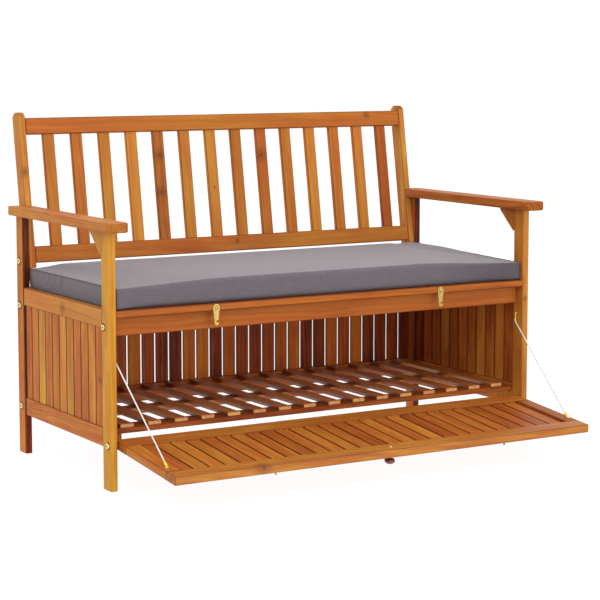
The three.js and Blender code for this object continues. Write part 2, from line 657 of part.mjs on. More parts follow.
// A round tab with a screw hole, lying on the plane y = 0 round the origin, and a crimped ferrule
// that leaves it towards -Z, lifted off that plane by the angle `lift`.
function ropeEnd(lift) {
  const tab = rod(stay.tab, 0, stay.tabThick, 'y', 16);
  const ferrule = rod(stay.ferrule, -stay.ferruleLong, 0, 'z', 12).rotateX(lift).translate(...ferruleStart);
  return cut(join([tab, ferrule]), [rod(stay.hole, -1, 3 * stay.ferrule, 'y', 12)]);
}

function ferruleTip(lift) {
  const along = new THREE.Vector3(0, Math.sin(lift), -Math.cos(lift));
  return along.multiplyScalar(stay.ferruleLong).add(ferruleStart);
}

// The rope leaves the upper ferrule straight down, bends within a few millimetres and runs straight
// to the lower ferrule.
function ropeBetween(upperTip, bend, lowerTip) {
  const along = lowerTip.clone().sub(bend).normalize();
  const route = new THREE.CatmullRomCurve3([
    upperTip.clone().add(new THREE.Vector3(0, 0, -jointGap)),
    bend.clone().lerp(upperTip, 0.4),
    bend.clone().addScaledVector(along, 2 * stay.bend),
    bend.clone().lerp(lowerTip, 0.5),
    lowerTip.clone().addScaledVector(along, -jointGap),
  ]);
  const section = new THREE.Shape().absarc(0, 0, stay.rope, 0, Math.PI * 2, false);
  const steps = Math.round(route.getLength() / (6 * stay.rope));
  return new THREE.ExtrudeGeometry(section, {
    steps, curveSegments: 4, bevelEnabled: false, extrudePath: route,
  });
}

function addStays() {
  const upperAt = new THREE.Vector3(betweenX, frontY + stayTop.fromFront, seatTop - stayTop.belowSeat);
  const onLeg = (thing) => (thing.isVector3
    ? thing.applyAxisAngle(new THREE.Vector3(0, 0, 1), Math.PI / 2).add(upperAt)
    : thing.rotateZ(Math.PI / 2));
  const upperTip = onLeg(ferruleTip(0));
  const bend = upperTip.clone().add(new THREE.Vector3(0, 0, -stay.bend));

  const lowerX = flapHalfWidth - stayLow.fromSide;
  const lowerAt = new THREE.Vector3(lowerX, flapHalf + jointGap, flapEdge - stayLow.fromEdge);
  const rise = bend.clone().applyMatrix4(flapGroup.matrix.clone().invert()).sub(lowerAt).sub(ferruleStart);
  const lift = Math.atan2(rise.y, -rise.z);
  const lowerTip = ferruleTip(lift).add(lowerAt).applyMatrix4(flapGroup.matrix);

  addPair(bench, 'stay_end_upper', onLeg(ropeEnd(0)), brass, upperAt.toArray());
  addPair(flapGroup, 'stay_end_lower', ropeEnd(lift), brass, lowerAt.toArray());
  addPair(bench, 'stay_rope', ropeBetween(upperTip, bend, lowerTip), ropeWhite);
}

// ---------------------------------------------------------------- assembly

addLegs();
addSides();
addBack();
addApron();
addFrontSlat();
addSeatDeck();
addFloor();
addBackrest();
addArmrests();
addBrackets();
addFlapFrame();
addKnob();
addCatchPins();
addPivotBolts();
addHooks();
addStays();
addCushion();

// The origin of the whole bench is on the ground, in the middle of its plan with the flap open.
const part = new THREE.Group();
part.add(bench);
const extent = new THREE.Box3().setFromObject(bench);
bench.position.y = -(extent.min.y + extent.max.y) / 2;

export default part;
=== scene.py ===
import math

import bmesh
import bpy
import numpy as np
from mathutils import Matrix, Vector
from mathutils.bvhtree import BVHTree


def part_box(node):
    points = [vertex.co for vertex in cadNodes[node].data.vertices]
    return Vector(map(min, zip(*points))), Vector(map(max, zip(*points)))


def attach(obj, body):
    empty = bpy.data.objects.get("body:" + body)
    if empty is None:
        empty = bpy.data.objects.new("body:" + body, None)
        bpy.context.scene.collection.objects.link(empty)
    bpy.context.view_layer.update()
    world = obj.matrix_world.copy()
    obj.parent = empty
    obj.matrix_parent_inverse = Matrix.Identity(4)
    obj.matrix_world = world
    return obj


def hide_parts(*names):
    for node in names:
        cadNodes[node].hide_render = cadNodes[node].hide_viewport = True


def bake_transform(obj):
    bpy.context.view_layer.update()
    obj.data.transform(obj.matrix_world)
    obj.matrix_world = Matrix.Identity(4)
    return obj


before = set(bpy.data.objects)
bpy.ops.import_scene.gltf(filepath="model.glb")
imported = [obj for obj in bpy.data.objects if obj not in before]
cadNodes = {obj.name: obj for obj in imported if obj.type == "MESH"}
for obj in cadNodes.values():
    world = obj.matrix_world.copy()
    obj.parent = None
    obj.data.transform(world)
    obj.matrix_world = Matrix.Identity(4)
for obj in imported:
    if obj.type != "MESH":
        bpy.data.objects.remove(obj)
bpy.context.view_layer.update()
print(f"frame loaded: {len(cadNodes)} parts")


# helpers for objects and meshes

sides = ((-1, "left"), (1, "right"))


def linked(thing):
    bpy.context.scene.collection.objects.link(thing)
    return thing


def smoothed(mesh, sharpAbove=None):
    mesh.polygons.foreach_set("use_smooth", [True] * len(mesh.polygons))
    if sharpAbove:  # degrees: edges that bend more stay crisp
        mesh.set_sharp_from_angle(angle=math.radians(sharpAbove))
    return mesh


def meshPiece(name, points, faces):
    mesh = bpy.data.meshes.new(name)
    mesh.from_pydata([tuple(p) for p in points], [], faces)
    mesh.validate()
    return linked(bpy.data.objects.new(name, smoothed(mesh)))


# The mesh that a piece's modifiers give.
def finishedMesh(piece):
    graph = bpy.context.evaluated_depsgraph_get()
    return bpy.data.meshes.new_from_object(piece.evaluated_get(graph))


def dressed(piece, material, body):
    piece.data.materials.clear()
    piece.data.materials.append(material)
    if body:
        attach(piece, body)
    return piece


def middleOf(node):
    low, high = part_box(node)
    return (low + high) / 2


# The faces of a tube whose points are ring after ring. An open tube gets an end face at both ends.
def tubeFaces(rings, around, closed=False):
    faces = []
    for i in range(rings if closed else rings - 1):
        here, after = i * around, (i + 1) % rings * around
        for k in range(around):
            following = (k + 1) % around
            faces.append((here + k, here + following, after + following, after + k))
    if not closed:
        faces.append(tuple(range(around - 1, -1, -1)))
        faces.append(tuple((rings - 1) * around + k for k in range(around)))
    return faces


# profile is a list of (distance along direction, radius); its ends close on the axis.
def turnedPiece(name, profile, start, direction, around=40):
    spin = Vector(direction).to_track_quat("Z", "Y")
    points = []
    for along, radius in profile:
        for k in range(around):
            angle = 2 * math.pi * k / around
            local = Vector((radius * math.cos(angle), radius * math.sin(angle), along))
            points.append(Vector(start) + spin @ local)
    return meshPiece(name, points, tubeFaces(len(profile), around))


# Cuts the corners of a turned profile, so that its edges come out soft.
def rounded(profile):
    cut = [profile[0]]
    for (z0, r0), (z1, r1) in zip(profile, profile[1:]):
        cut += [(z0 + (z1 - z0) * share, r0 + (r1 - r0) * share) for share in (0.25, 0.75)]
    return cut + [profile[-1]]


def joined(name, parts):
    gathered = bmesh.new()
    for part in parts:
        gathered.from_mesh(part.data)
        bpy.data.objects.remove(part)
    mesh = bpy.data.meshes.new(name)
    gathered.to_mesh(mesh)
    gathered.free()
    return linked(bpy.data.objects.new(name, smoothed(mesh, 35)))


# camera: it stands to the left of the bench and looks a little down

view = {
    "place": (-2.3912, -3.9859, 0.9831),
    "turnedRight": 30.992,
    "lookingDown": 6.554,
    "lens": 115.97,
    "shiftUp": -0.05,
}
lens = bpy.data.cameras.new("camera")
lens.lens = view["lens"]
lens.sensor_width = 36
lens.shift_y = view["shiftUp"]
lens.clip_end = 60
camera = linked(bpy.data.objects.new("camera", lens))
camera.location = view["place"]
camera.rotation_euler = (math.radians(90 - view["lookingDown"]), 0, math.radians(-view["turnedRight"]))
bpy.context.scene.camera = camera
print("camera set")


# node helpers; each finds the node tree from the sockets that it is given


def newMaterial(name):
    material = bpy.data.materials.new(name)
    material.use_nodes = True
    return material, material.node_tree


def treeOf(*values):
    return next(value.id_data for value in values if isinstance(value, bpy.types.NodeSocket))


def setSocket(socket, value):
    if isinstance(value, bpy.types.NodeSocket):
        socket.id_data.links.new(value, socket)
    elif value is not None:
        socket.default_value = value


# Unnamed values go to the first inputs in turn. A name with a capital is an input, and _ is a space in it.
# A name with a small letter is one of the node's settings.
def addNode(tree, kind, *values, **named):
    node = tree.nodes.new(kind)
    for key, value in named.items():
        if key[0].islower():
            setattr(node, key, value)
    for socket, value in zip(node.inputs, values):
        setSocket(socket, value)
    for key, value in named.items():
        if key[0].isupper():
            setSocket(node.inputs[key.replace("_", " ")], value)
    return node


def firstOut(tree, kind, *values, **named):
    return addNode(tree, kind, *values, **named).outputs[0]


def calc(operation, a, b=None, c=None, clamp=False):
    return firstOut(treeOf(a, b, c), "ShaderNodeMath", a, b, c, operation=operation, use_clamp=clamp)


def plus(a, b, clamp=False):
    return calc("ADD", a, b, clamp=clamp)


def minus(a, b):
    return calc("SUBTRACT", a, b)


def times(a, b, clamp=False):
    return calc("MULTIPLY", a, b, clamp=clamp)


def timesPlus(a, b, c):
    return calc("MULTIPLY_ADD", a, b, c)


def larger(a, b):
    return calc("MAXIMUM", a, b)


def vectorCalc(operation, a, b=None):
    node = addNode(treeOf(a, b), "ShaderNodeVectorMath", a, b, operation=operation)
    return node.outputs["Value" if operation == "LENGTH" else "Vector"]


def scaled(vector, factors):
    return vectorCalc("MULTIPLY", vector, factors)


def apart(vector):
    return addNode(treeOf(vector), "ShaderNodeSeparateXYZ", vector).outputs


def together(x=None, y=None, z=None):
    return firstOut(treeOf(x, y, z), "ShaderNodeCombineXYZ", x, y, z)


def blended(factor, a, b, kind="RGBA", how="MIX"):
    place = ["FLOAT", "VECTOR", "RGBA"].index(kind)
    unused = [None] * (2 * place + 1)
    tree = treeOf(factor, a, b)
    node = addNode(tree, "ShaderNodeMix", factor, *unused, a, b, data_type=kind, blend_type=how)
    return node.outputs[place]


def tinted(colour, tint, strength=1.0):
    return blended(strength, colour, tint, how="MULTIPLY")


def spreadOut(value, low, high, toLow=0.0, toHigh=1.0):
    tree, way = treeOf(value), "SMOOTHSTEP"
    return firstOut(tree, "ShaderNodeMapRange", value, low, high, toLow, toHigh, interpolation_type=way)


# Noise over a place. Three numbers of fineness stretch it along the three axes.
def noise(place, fineness, detail=2.0, roughness=0.5):
    if isinstance(fineness, tuple):
        place, fineness = scaled(place, fineness), 1.0
    settings = {"Scale": fineness, "Detail": detail, "Roughness": roughness}
    return firstOut(treeOf(place), "ShaderNodeTexNoise", place, **settings)


def noiseAlong(distance, spacing, detail, roughness):
    settings = {"Scale": 1.0, "Detail": detail, "Roughness": roughness, "noise_dimensions": "1D"}
    steps = calc("DIVIDE", distance, spacing)
    return firstOut(treeOf(distance), "ShaderNodeTexNoise", W=steps, **settings)


def objectPlace(tree):
    return addNode(tree, "ShaderNodeTexCoord").outputs["Object"]


def bumped(height, strength, distance):
    return firstOut(treeOf(height), "ShaderNodeBump", Strength=strength, Distance=distance, Height=height)


def rampStops(ramp, stops):
    for _ in range(len(stops) - 2):
        ramp.elements.new(0.5)
    for element, (at, colour) in zip(ramp.elements, stops):
        element.position, element.color = at, colour


# An sRGB colour from 0 to 255 as Blender's linear one.
def srgb(colour):
    shares = [value / 255 for value in colour]
    linear = [share / 12.92 if share <= 0.04045 else ((share + 0.055) / 1.055) ** 2.4 for share in shares]
    return (*linear, 1.0)


def surface(tree, **values):
    inputs = tree.nodes["Principled BSDF"].inputs
    for key, value in values.items():
        setSocket(inputs[key.replace("_", " ")], value)


# wood

wood = {
    "tones": [
        (0.00, (204, 155, 66)),
        (0.22, (186, 127, 49)),
        (0.45, (168, 98, 38)),
        (0.68, (142, 71, 29)),
        (0.86, (107, 46, 21)),
        (1.00, (69, 28, 14)),
    ],
    "ringSpacing": 0.0065,
    "fineness": {  # along, across and through the grain
        "wobble": (2.6, 7, 7),
        "drift": (3.0, 16, 16),
        "mottle": (14, 45, 45),
        "streaks": (3.5, 150, 150),
        "fibres": (14, 900, 900),
        "redness": (1.5, 6, 6),
    },
    "figure": (0.17, 0.60, 0.32, 0.36, 0.14),  # how much bands, drift, mottle, streaks and fine rings show
    "redTint": (1.03, 0.86, 0.84, 1),
    "yellowTint": (0.99, 1.03, 0.90, 1),
    "endGrainTint": (0.80, 0.776, 0.736, 1),
    "deepTint": (0.97, 0.87, 0.60, 1),
    "edgeShadeTint": (0.46, 0.35, 0.26, 1),  # painted shade: the darker line along every edge and along the gaps between boards
    "edgeShadeStrength": 0.85,
    "poreColour": (96, 44, 20),
    # the knots' colour, which also paints the shadow strips: painted shadow
    "knotAndShadowColour": (58, 24, 14),
    "bumpDepth": 0.0005,
    "edgeRadius": 0.0014,
    "armEdgeRadius": 0.0042,
}


# One shared group. Place is (along the grain, across, through) in metres.
def grainGroup():
    tree = bpy.data.node_groups.new("acaciaGrain", "ShaderNodeTree")
    tree.interface.new_socket("Place", in_out="INPUT", socket_type="NodeSocketVector")
    for name in ("Tone", "EndGrain", "KnotAndShadow", "EdgeShade", "Warmth", "Calm"):
        tree.interface.new_socket(name, in_out="INPUT", socket_type="NodeSocketFloat")
    for name, kind in (("Colour", "Color"), ("Roughness", "Float"), ("Height", "Float")):
        tree.interface.new_socket(name, in_out="OUTPUT", socket_type="NodeSocket" + kind)
    give = tree.nodes.new("NodeGroupInput").outputs
    leave = tree.nodes.new("NodeGroupOutput").inputs
    place = give["Place"]

    fine = wood["fineness"]
    wobble = scaled(place, fine["wobble"])
    wobble = addNode(tree, "ShaderNodeTexNoise", wobble, Scale=1.0, Detail=2.0).outputs["Color"]
    wobble = scaled(vectorCalc("SUBTRACT", wobble, (0.5, 0.5, 0.5)), (0.0, 0.035, 0.035))
    warped = vectorCalc("ADD", place, wobble)
    along, across, through = apart(warped)
    tilted = timesPlus(along, 0.02, across)
    ringRadius = calc("SQRT", plus(times(tilted, tilted), times(through, through)))
    bands = spreadOut(noiseAlong(ringRadius, wood["ringSpacing"], 2.0, 0.55), 0.30, 0.72)
    fineRings = noiseAlong(ringRadius, wood["ringSpacing"] / 5, 3.0, 0.7)
    drift = noise(place, fine["drift"], 3.0)
    mottle = noise(place, fine["mottle"], 3.0, 0.6)
    streaks = noise(warped, fine["streaks"], 3.0, 0.65)
    fibres = noise(place, fine["fibres"], 2.0, 0.6)
    redness = spreadOut(noise(place, fine["redness"]), 0.38, 0.62)

    tone = give["Tone"]
    for figure, strength in zip((bands, drift, mottle, streaks, fineRings), wood["figure"]):
        tone = timesPlus(minus(figure, 0.5), strength, tone)
    tone = plus(tone, times(minus(give["Tone"], tone), give["Calm"]), clamp=True)
    ramp = addNode(tree, "ShaderNodeValToRGB", tone)
    rampStops(ramp.color_ramp, [(at, srgb(colour)) for at, colour in wood["tones"]])
    colour = ramp.outputs[0]
    warm = plus(redness, give["Warmth"], clamp=True)
    colour = blended(warm, tinted(colour, wood["yellowTint"]), tinted(colour, wood["redTint"]))
    colour = blended(times(spreadOut(fibres, 0.34, 0.20), 0.30), colour, srgb(wood["poreColour"]))
    colour = blended(give["EndGrain"], colour, tinted(colour, wood["endGrainTint"]))
    # knots, and the painted shadow strips in the same dark colour
    colour = blended(give["KnotAndShadow"], colour, srgb(wood["knotAndShadowColour"]))
    # painted shade along edges and the gaps between boards
    colour = blended(times(give["EdgeShade"], wood["edgeShadeStrength"]), colour, tinted(colour, wood["edgeShadeTint"]))
    setSocket(leave["Colour"], colour)
    setSocket(leave["Roughness"], timesPlus(streaks, 0.22, 0.36))
    setSocket(leave["Height"], timesPlus(bands, 0.25, timesPlus(fibres, 0.5, times(streaks, 0.7))))
    return tree


grain = grainGroup()


# Turns a place so that its first number runs along the grain.
def alongGrain(place, axis):
    parts = apart(place)
    return together(*(parts[k] for k in {"x": (0, 1, 2), "y": (1, 0, 2), "z": (2, 0, 1)}[axis]))


# 1 where a face bends round an edge, 0 where it lies flat: the mask for the painted shade along edges
def roundedEdge(normal):
    x, y, z = apart(vectorCalc("ABSOLUTE", normal))
    return spreadOut(larger(x, larger(y, z)), 0.985, 0.90)


# Boards side by side in one node: each has its own tone and grain, and a line of painted shade at its edges,
# where the gaps between boards fall into shade.
# boards = dict(axis, start, pitch, tones or spread), and where the gaps show, bare (half a gap) and line (how
# far the painted shade reaches past it).
def sideBySide(byAxis, boards, tone, seed, edgeShadeMask, shift):
    tree = treeOf(edgeShadeMask)
    steps = calc("DIVIDE", minus(byAxis[boards["axis"]], boards["start"]), boards["pitch"])
    index = calc("FLOOR", steps)
    if "bare" in boards:
        within = calc("FRACT", steps)
        distance = times(calc("MINIMUM", within, minus(1.0, within)), boards["pitch"])
        # painted shade: darker near each board edge
        line = spreadOut(distance, boards["bare"] + boards["line"], boards["bare"] + 0.0003)
        edgeShadeMask = larger(edgeShadeMask, line)
    numbered = plus(index, seed * 13.7)
    chance = addNode(tree, "ShaderNodeTexWhiteNoise", W=numbered, noise_dimensions="1D").outputs
    if "tones" in boards:
        count = len(boards["tones"])
        levels = addNode(tree, "ShaderNodeValToRGB", calc("DIVIDE", plus(index, 0.5), count))
        levels.color_ramp.interpolation = "CONSTANT"
        stops = [(i / count, (level, level, level, 1)) for i, level in enumerate(boards["tones"])]
        rampStops(levels.color_ramp, stops)
        tone = levels.outputs[0]
    else:
        tone = timesPlus(minus(chance["Value"], 0.5), boards["spread"], tone)
    return tone, edgeShadeMask, vectorCalc("ADD", scaled(chance["Color"], (9.0, 0.12, 0.10)), shift)


# Strong in each knot's core (x, y, z, radius), weak round it, nearly 1 in each painted shadow strip (axis,
# low, high), where a gap or a contact shadow is painted dark.
def knotAndShadowSpots(place, byAxis, knots, shadowStrips):
    darkest = 0.0
    for *middle, radius in knots:
        ragged = addNode(treeOf(place), "ShaderNodeTexNoise", place, Scale=60.0).outputs["Color"]
        away = vectorCalc("SUBTRACT", place, tuple(value + 0.003 for value in middle))
        away = vectorCalc("ADD", away, scaled(ragged, (0.006, 0.006, 0.006)))
        far = calc("DIVIDE", vectorCalc("LENGTH", away), radius)
        halo = times(spreadOut(far, 3.6, 0.8), 0.34)
        darkest = larger(darkest, larger(spreadOut(far, 1.1, 0.35, 0.0, 0.62), halo))
    for axis, low, high in shadowStrips:
        inside = times(calc("GREATER_THAN", byAxis[axis], low), calc("LESS_THAN", byAxis[axis], high))
        darkest = larger(darkest, times(inside, 0.9))
    return darkest


# tilt turns the grain about X, in degrees. The low shade is (from z, to z, what it adds to the tone below):
# painted shade, darker towards the foot.
# crossed = dict(axis, below or above, along, tone): the part of the node whose grain runs another way.
def woodMaterial(name, along, tone, seed, tilt=0.0, boards=None, crossed=None, knots=(), shadowStrips=(),
                 paintedEndLight=0.0, warmth=0.0, frontShade=0.0, edges=1.0, deep=0.0, gloss=0.12, lowShade=None,
                 calm=0.0):
    material, tree = newMaterial(name)
    coords = addNode(tree, "ShaderNodeTexCoord").outputs
    place, normal = coords["Object"], coords["Normal"]
    byAxis = dict(zip("xyz", apart(place)))
    turned = place
    if tilt:
        turn = (math.radians(tilt), 0, 0)
        turned = firstOut(tree, "ShaderNodeMapping", place, Rotation=turn)
        normal = firstOut(tree, "ShaderNodeMapping", normal, Rotation=turn)
    grainPlace, grainNormal = alongGrain(turned, along), alongGrain(normal, along)
    # this rounded-edge mask carries the painted shade along edges
    rounding = edgeShadeMask = roundedEdge(normal)
    shift = (seed * 1.7, 0.06 + 0.01 * (seed % 7), 0.05 + 0.013 * (seed % 5))
    if boards:
        tone, edgeShadeMask, shift = sideBySide(byAxis, boards, tone, seed, edgeShadeMask, shift)
    grainPlace = vectorCalc("ADD", grainPlace, shift)
    if crossed:
        way, limit = ("LESS_THAN", "below") if "below" in crossed else ("GREATER_THAN", "above")
        isOther = calc(way, byAxis[crossed["axis"]], crossed[limit])
        otherPlace = vectorCalc("ADD", alongGrain(place, crossed["along"]), (seed * 0.9 + 4, 0.08, 0.06))
        grainPlace = blended(isOther, grainPlace, otherPlace, "VECTOR")
        grainNormal = blended(isOther, grainNormal, alongGrain(coords["Normal"], crossed["along"]), "VECTOR")
        tone = blended(isOther, tone, crossed["tone"], "FLOAT")
        edgeShadeMask = blended(isOther, edgeShadeMask, rounding, "FLOAT")
    endGrain = spreadOut(calc("ABSOLUTE", apart(grainNormal)[0]), 0.75, 0.9)
    # painted shade: faces looking forward (-Y) get a darker tone, for the shade under the bench
    if frontShade:
        tone = plus(tone, times(apart(coords["Normal"])[1], -frontShade, clamp=True))
    # painted shade: darker towards the bottom
    if lowShade:
        tone = plus(tone, spreadOut(byAxis["z"], *lowShade, 0.0))
    # painted light: end faces get a paler tone, as if lit from the front
    if paintedEndLight:
        tone = timesPlus(endGrain, -paintedEndLight, tone)
        endGrain = 0.0
    group = tree.nodes.new("ShaderNodeGroup")
    group.node_tree = grain
    # edges scales the painted shade along edges and board gaps
    knotAndShadowMask, edgeShadeMask = knotAndShadowSpots(place, byAxis, knots, shadowStrips), times(edgeShadeMask, edges)
    # the knot mask here also carries the painted shadow strips
    values = (grainPlace, tone, endGrain, knotAndShadowMask, edgeShadeMask, warmth, calm)
    for socket, value in zip(group.inputs, values):
        setSocket(socket, value)
    look = group.outputs
    surface(
        tree,
        Base_Color=tinted(look["Colour"], wood["deepTint"], deep) if deep else look["Colour"],
        Roughness=look["Roughness"],
        Normal=bumped(look["Height"], 0.35, wood["bumpDepth"]),
        Specular_IOR_Level=gloss,
    )
    return material


def dressNode(node, material, edge=0.0, segments=2):
    part = cadNodes[node]
    part.data.materials.clear()
    part.data.materials.append(material)
    if edge:
        weld = part.modifiers.new("weld", "WELD")
        weld.merge_threshold = 0.00002
        ease = part.modifiers.new("eased edges", "BEVEL")
        ease.width, ease.segments = edge, segments
        ease.limit_method, ease.angle_limit = "ANGLE", math.radians(32)
        ease.use_clamp_overlap = True


rake = 9.1  # degrees that the backrest leans
flapDroop = 5.7  # degrees that the open flap hangs below level
plainBoards = {
    "leg_front_left": dict(along="z", tone=0.14, warmth=-0.8, edges=0.1, deep=1.0, calm=0.3),
    "leg_front_right": dict(
        along="z", tone=0.38, warmth=-0.5, edges=0.3, knots=[(0.5694, -0.1535, 0.360, 0.003)]
    ),
    # the rear legs' forward faces are painted darker: painted shade under the bench
    "leg_rear_left": dict(along="z", tone=0.36, frontShade=0.55, edges=0.3, deep=0.9),
    "leg_rear_right": dict(along="z", tone=0.38, frontShade=0.55, edges=0.3),
    "armrest_left": dict(along="y", tone=0.33, edges=0.3),
    "armrest_right": dict(along="y", tone=0.48, edges=0.3, deep=0.5),
    "armrest_bracket_left": dict(along="z", tone=0.36),
    "armrest_bracket_right": dict(along="z", tone=0.56),
    "side_top_rail_left": dict(
        along="y", tone=0.27, deep=0.3, calm=0.4, knots=[(-0.579, 0.10, 0.385, 0.007)],
        shadowStrips=[("x", -0.5665, -0.5)],
    ),
    "side_top_rail_right": dict(along="y", tone=0.45),
    "back_top_rail": dict(along="x", tone=0.52),
    "front_apron": dict(along="x", tone=0.52, deep=0.3, calm=0.55),
    "front_seat_slat": dict(
        # painted contact shadow on the slat where the cushion's front edge rests on it
        along="x", tone=0.53, warmth=-0.5, deep=0.3, calm=0.2, shadowStrips=[("y", -0.1475, -0.13)]
    ),
    "floor_batten_front": dict(along="x", tone=0.74),
    "floor_batten_rear": dict(along="x", tone=0.58),
    "floor_cleat_left": dict(along="y", tone=0.35),
    "floor_cleat_right": dict(along="y", tone=0.25),
    "backrest_top_rail": dict(
        along="x", tone=0.46, calm=0.5, tilt=rake, knots=[(0.440, 0.383, 0.804, 0.0045)]
    ),
    "backrest_bottom_rail": dict(
        along="x", tone=0.45, calm=0.3, tilt=rake, knots=[(0.0147, 0.333, 0.4904, 0.003)]
    ),
    "backrest_stile_left": dict(
        along="z", tone=0.27, tilt=rake, edges=0.5, knots=[(-0.5536, 0.364, 0.685, 0.006)],
        # painted shade: the stile darkens towards its foot
        lowShade=(0.45, 0.64, 0.26),
    ),
    "backrest_stile_right": dict(along="z", tone=0.28, tilt=rake),
    "flap_outer_rail": dict(
        along="x", tone=0.42, gloss=0.3, warmth=-0.9, deep=0.7, tilt=-flapDroop,
        knots=[(-0.3416, -0.4240, 0.0810, 0.009)],
    ),
    "flap_stile_left": dict(along="y", tone=0.38, tilt=-flapDroop),
    "flap_stile_right": dict(along="y", tone=0.50, tilt=-flapDroop),
}
for count, (node, look) in enumerate(plainBoards.items()):
    radius = wood["armEdgeRadius" if node in ("armrest_left", "armrest_right") else "edgeRadius"]
    dressNode(node, woodMaterial("wood_" + node, seed=count + 1, **look), radius, 3)

slatPitch = middleOf("backrest_slat_02").x - middleOf("backrest_slat_01").x
slatWood = woodMaterial(
    "wood_backrest_slats", along="z", tone=0.4, calm=0.35, seed=31, tilt=rake,
    knots=[
        (-0.190, 0.358, 0.623, 0.006),
        (-0.187, 0.373, 0.715, 0.007),
        (-0.036, 0.359, 0.629, 0.0022),
        (0.108, 0.372, 0.707, 0.008),
    ],
    boards=dict(
        axis="x", start=middleOf("backrest_slat_01").x - slatPitch / 2, pitch=slatPitch,
        tones=[0.42, 0.50, 0.34, 0.24, 0.50, 0.36, 0.34, 0.46, 0.50, 0.46, 0.28, 0.42, 0.36, 0.60],
    ),
)
for number in range(1, 15):
    dressNode(f"backrest_slat_{number:02d}", slatWood, wood["edgeRadius"])

sideBoards = dict(axis="y", start=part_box("leg_front_left")[1].y, pitch=0.040, bare=0.0015, line=0.0036)
sideRail = dict(axis="z", below=0.1395, along="y", tone=0.36)
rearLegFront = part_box("leg_rear_left")[0].y
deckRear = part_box("seat_deck")[1].y
deckPitch = 0.459 / 7
floorPitch = 0.0688
flapPitch = 0.0387
boardedNodes = {
    "side_panel_left": dict(
        along="z", tone=0.4, seed=44, deep=1.0, crossed=sideRail,
        # painted shadow of the gap between the side boards and the rear leg
        shadowStrips=[("y", rearLegFront - 0.0085, rearLegFront + 0.001)],
        boards=dict(sideBoards, tones=[0.36, 0.28, 0.34, 0.32, 0.30, 0.16, 0.34, 0.30, 0.16, 0.32, 0.36]),
        knots=[(-0.576, -0.0955, 0.245, 0.0042), (-0.576, -0.089, 0.249, 0.003)],
    ),
    "side_panel_right": dict(
        along="z", tone=0.4, seed=45, warmth=0.6, crossed=sideRail,
        boards=dict(sideBoards, tones=[0.60, 0.24, 0.52, 0.28, 0.46, 0.38, 0.56, 0.42, 0.58, 0.56, 0.74]),
    ),
    "back_panel": dict(
        along="z", tone=0.62, seed=51, warmth=0.9, deep=1.0,
        boards=dict(
            axis="x", start=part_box("back_panel")[0].x - 0.0028, pitch=0.039, spread=0.50, bare=0.0028,
            line=0.0016,
        ),
        crossed=dict(axis="z", below=0.1395, along="x", tone=0.5),
    ),
    "seat_deck": dict(
        along="x", tone=0.45, seed=61,
        boards=dict(axis="y", start=deckRear, pitch=deckPitch, spread=0.35),
        crossed=dict(axis="z", below=0.3883, along="y", tone=0.55),
    ),
    "floor_slats": dict(
        # painted light: the slats' end faces are paler, as if lit from the front
        along="y", tone=0.39, seed=71, warmth=0.7, gloss=1.1, paintedEndLight=0.30,
        boards=dict(
            axis="x", start=-8 * floorPitch, pitch=floorPitch, bare=0.01765, line=0.0016,
            tones=[
                0.44, 0.50, 0.38, 0.46, 0.40, 0.48, 0.42, 0.38,
                0.48, 0.42, 0.46, 0.40, 0.44, 0.36, 0.38, 0.34,
            ],
        ),
        crossed=dict(axis="z", below=0.1334, along="x", tone=0.50),
    ),
    "flap_hinge_rail": dict(
        along="y", tone=0.47, seed=83, warmth=0.3, tilt=-flapDroop,
        boards=dict(
            axis="x", start=0.51955 - 27 * flapPitch, pitch=flapPitch, spread=0.34, bare=0.00235, line=0.0016
        ),
        crossed=dict(axis="y", above=-0.1861, along="x", tone=0.40),
    ),
}
for node, look in boardedNodes.items():
    dressNode(node, woodMaterial("wood_" + node, **look))
print("wood finished")


# metal, lacquer and rope materials


def metalMaterial(name, colour, stain, roughness):
    material, tree = newMaterial(name)
    place = objectPlace(tree)
    blotches = noise(place, 260.0, 4.0, 0.65)
    surface(
        tree,
        Base_Color=blended(spreadOut(blotches, 0.45, 0.75), srgb(colour), srgb(stain)),
        Metallic=1.0,
        Roughness=timesPlus(blotches, 0.25, roughness),
        Normal=bumped(noise(place, (900, 900, 60)), 0.25, 0.0002),
    )
    return material


brass = metalMaterial("brass", (200, 170, 100), (106, 80, 40), 0.28)
# the catch pins: antique brass, made darker than the hooks' brass to stand for the shade they sit in
shadedPinBrass = metalMaterial("brass_pins", (160, 130, 80), (84, 62, 36), 0.34)
goldBrass = metalMaterial("brass_ferrule", (250, 205, 70), (190, 132, 30), 0.16)
paleZinc = metalMaterial("pale_zinc", (246, 222, 162), (176, 140, 84), 0.26)
darkRecess = metalMaterial("recess_shadow", (54, 34, 18), (28, 16, 8), 0.60)
whiteMetal = metalMaterial("white_metal", (244, 238, 226), (196, 180, 160), 0.24)

lacquer, lacquerTree = newMaterial("knob_lacquer")
lacquerGrain = noise(objectPlace(lacquerTree), (500, 500, 60), 3.0)
surface(
    lacquerTree,
    Base_Color=blended(lacquerGrain, srgb((58, 6, 14)), srgb((110, 18, 26))),
    Roughness=timesPlus(lacquerGrain, 0.10, 0.14),
    Coat_Weight=0.8,
    Coat_Roughness=0.06,
)

ropeCotton, ropeTree = newMaterial("white_rope")
ropeFibres = noise(firstOut(ropeTree, "ShaderNodeUVMap", uv_map="rope"), (26, 900, 1), 3.0, 0.6)
surface(
    ropeTree,
    Base_Color=blended(ropeFibres, srgb((204, 202, 196)), srgb((232, 231, 226))),
    Roughness=timesPlus(ropeFibres, 0.15, 0.72),
    Normal=bumped(ropeFibres, 0.4, 0.0002),
    Sheen_Weight=0.2,
)
print("metal, lacquer and rope finishes ready")


# rope stays, one on each side, held taut between leg and flap

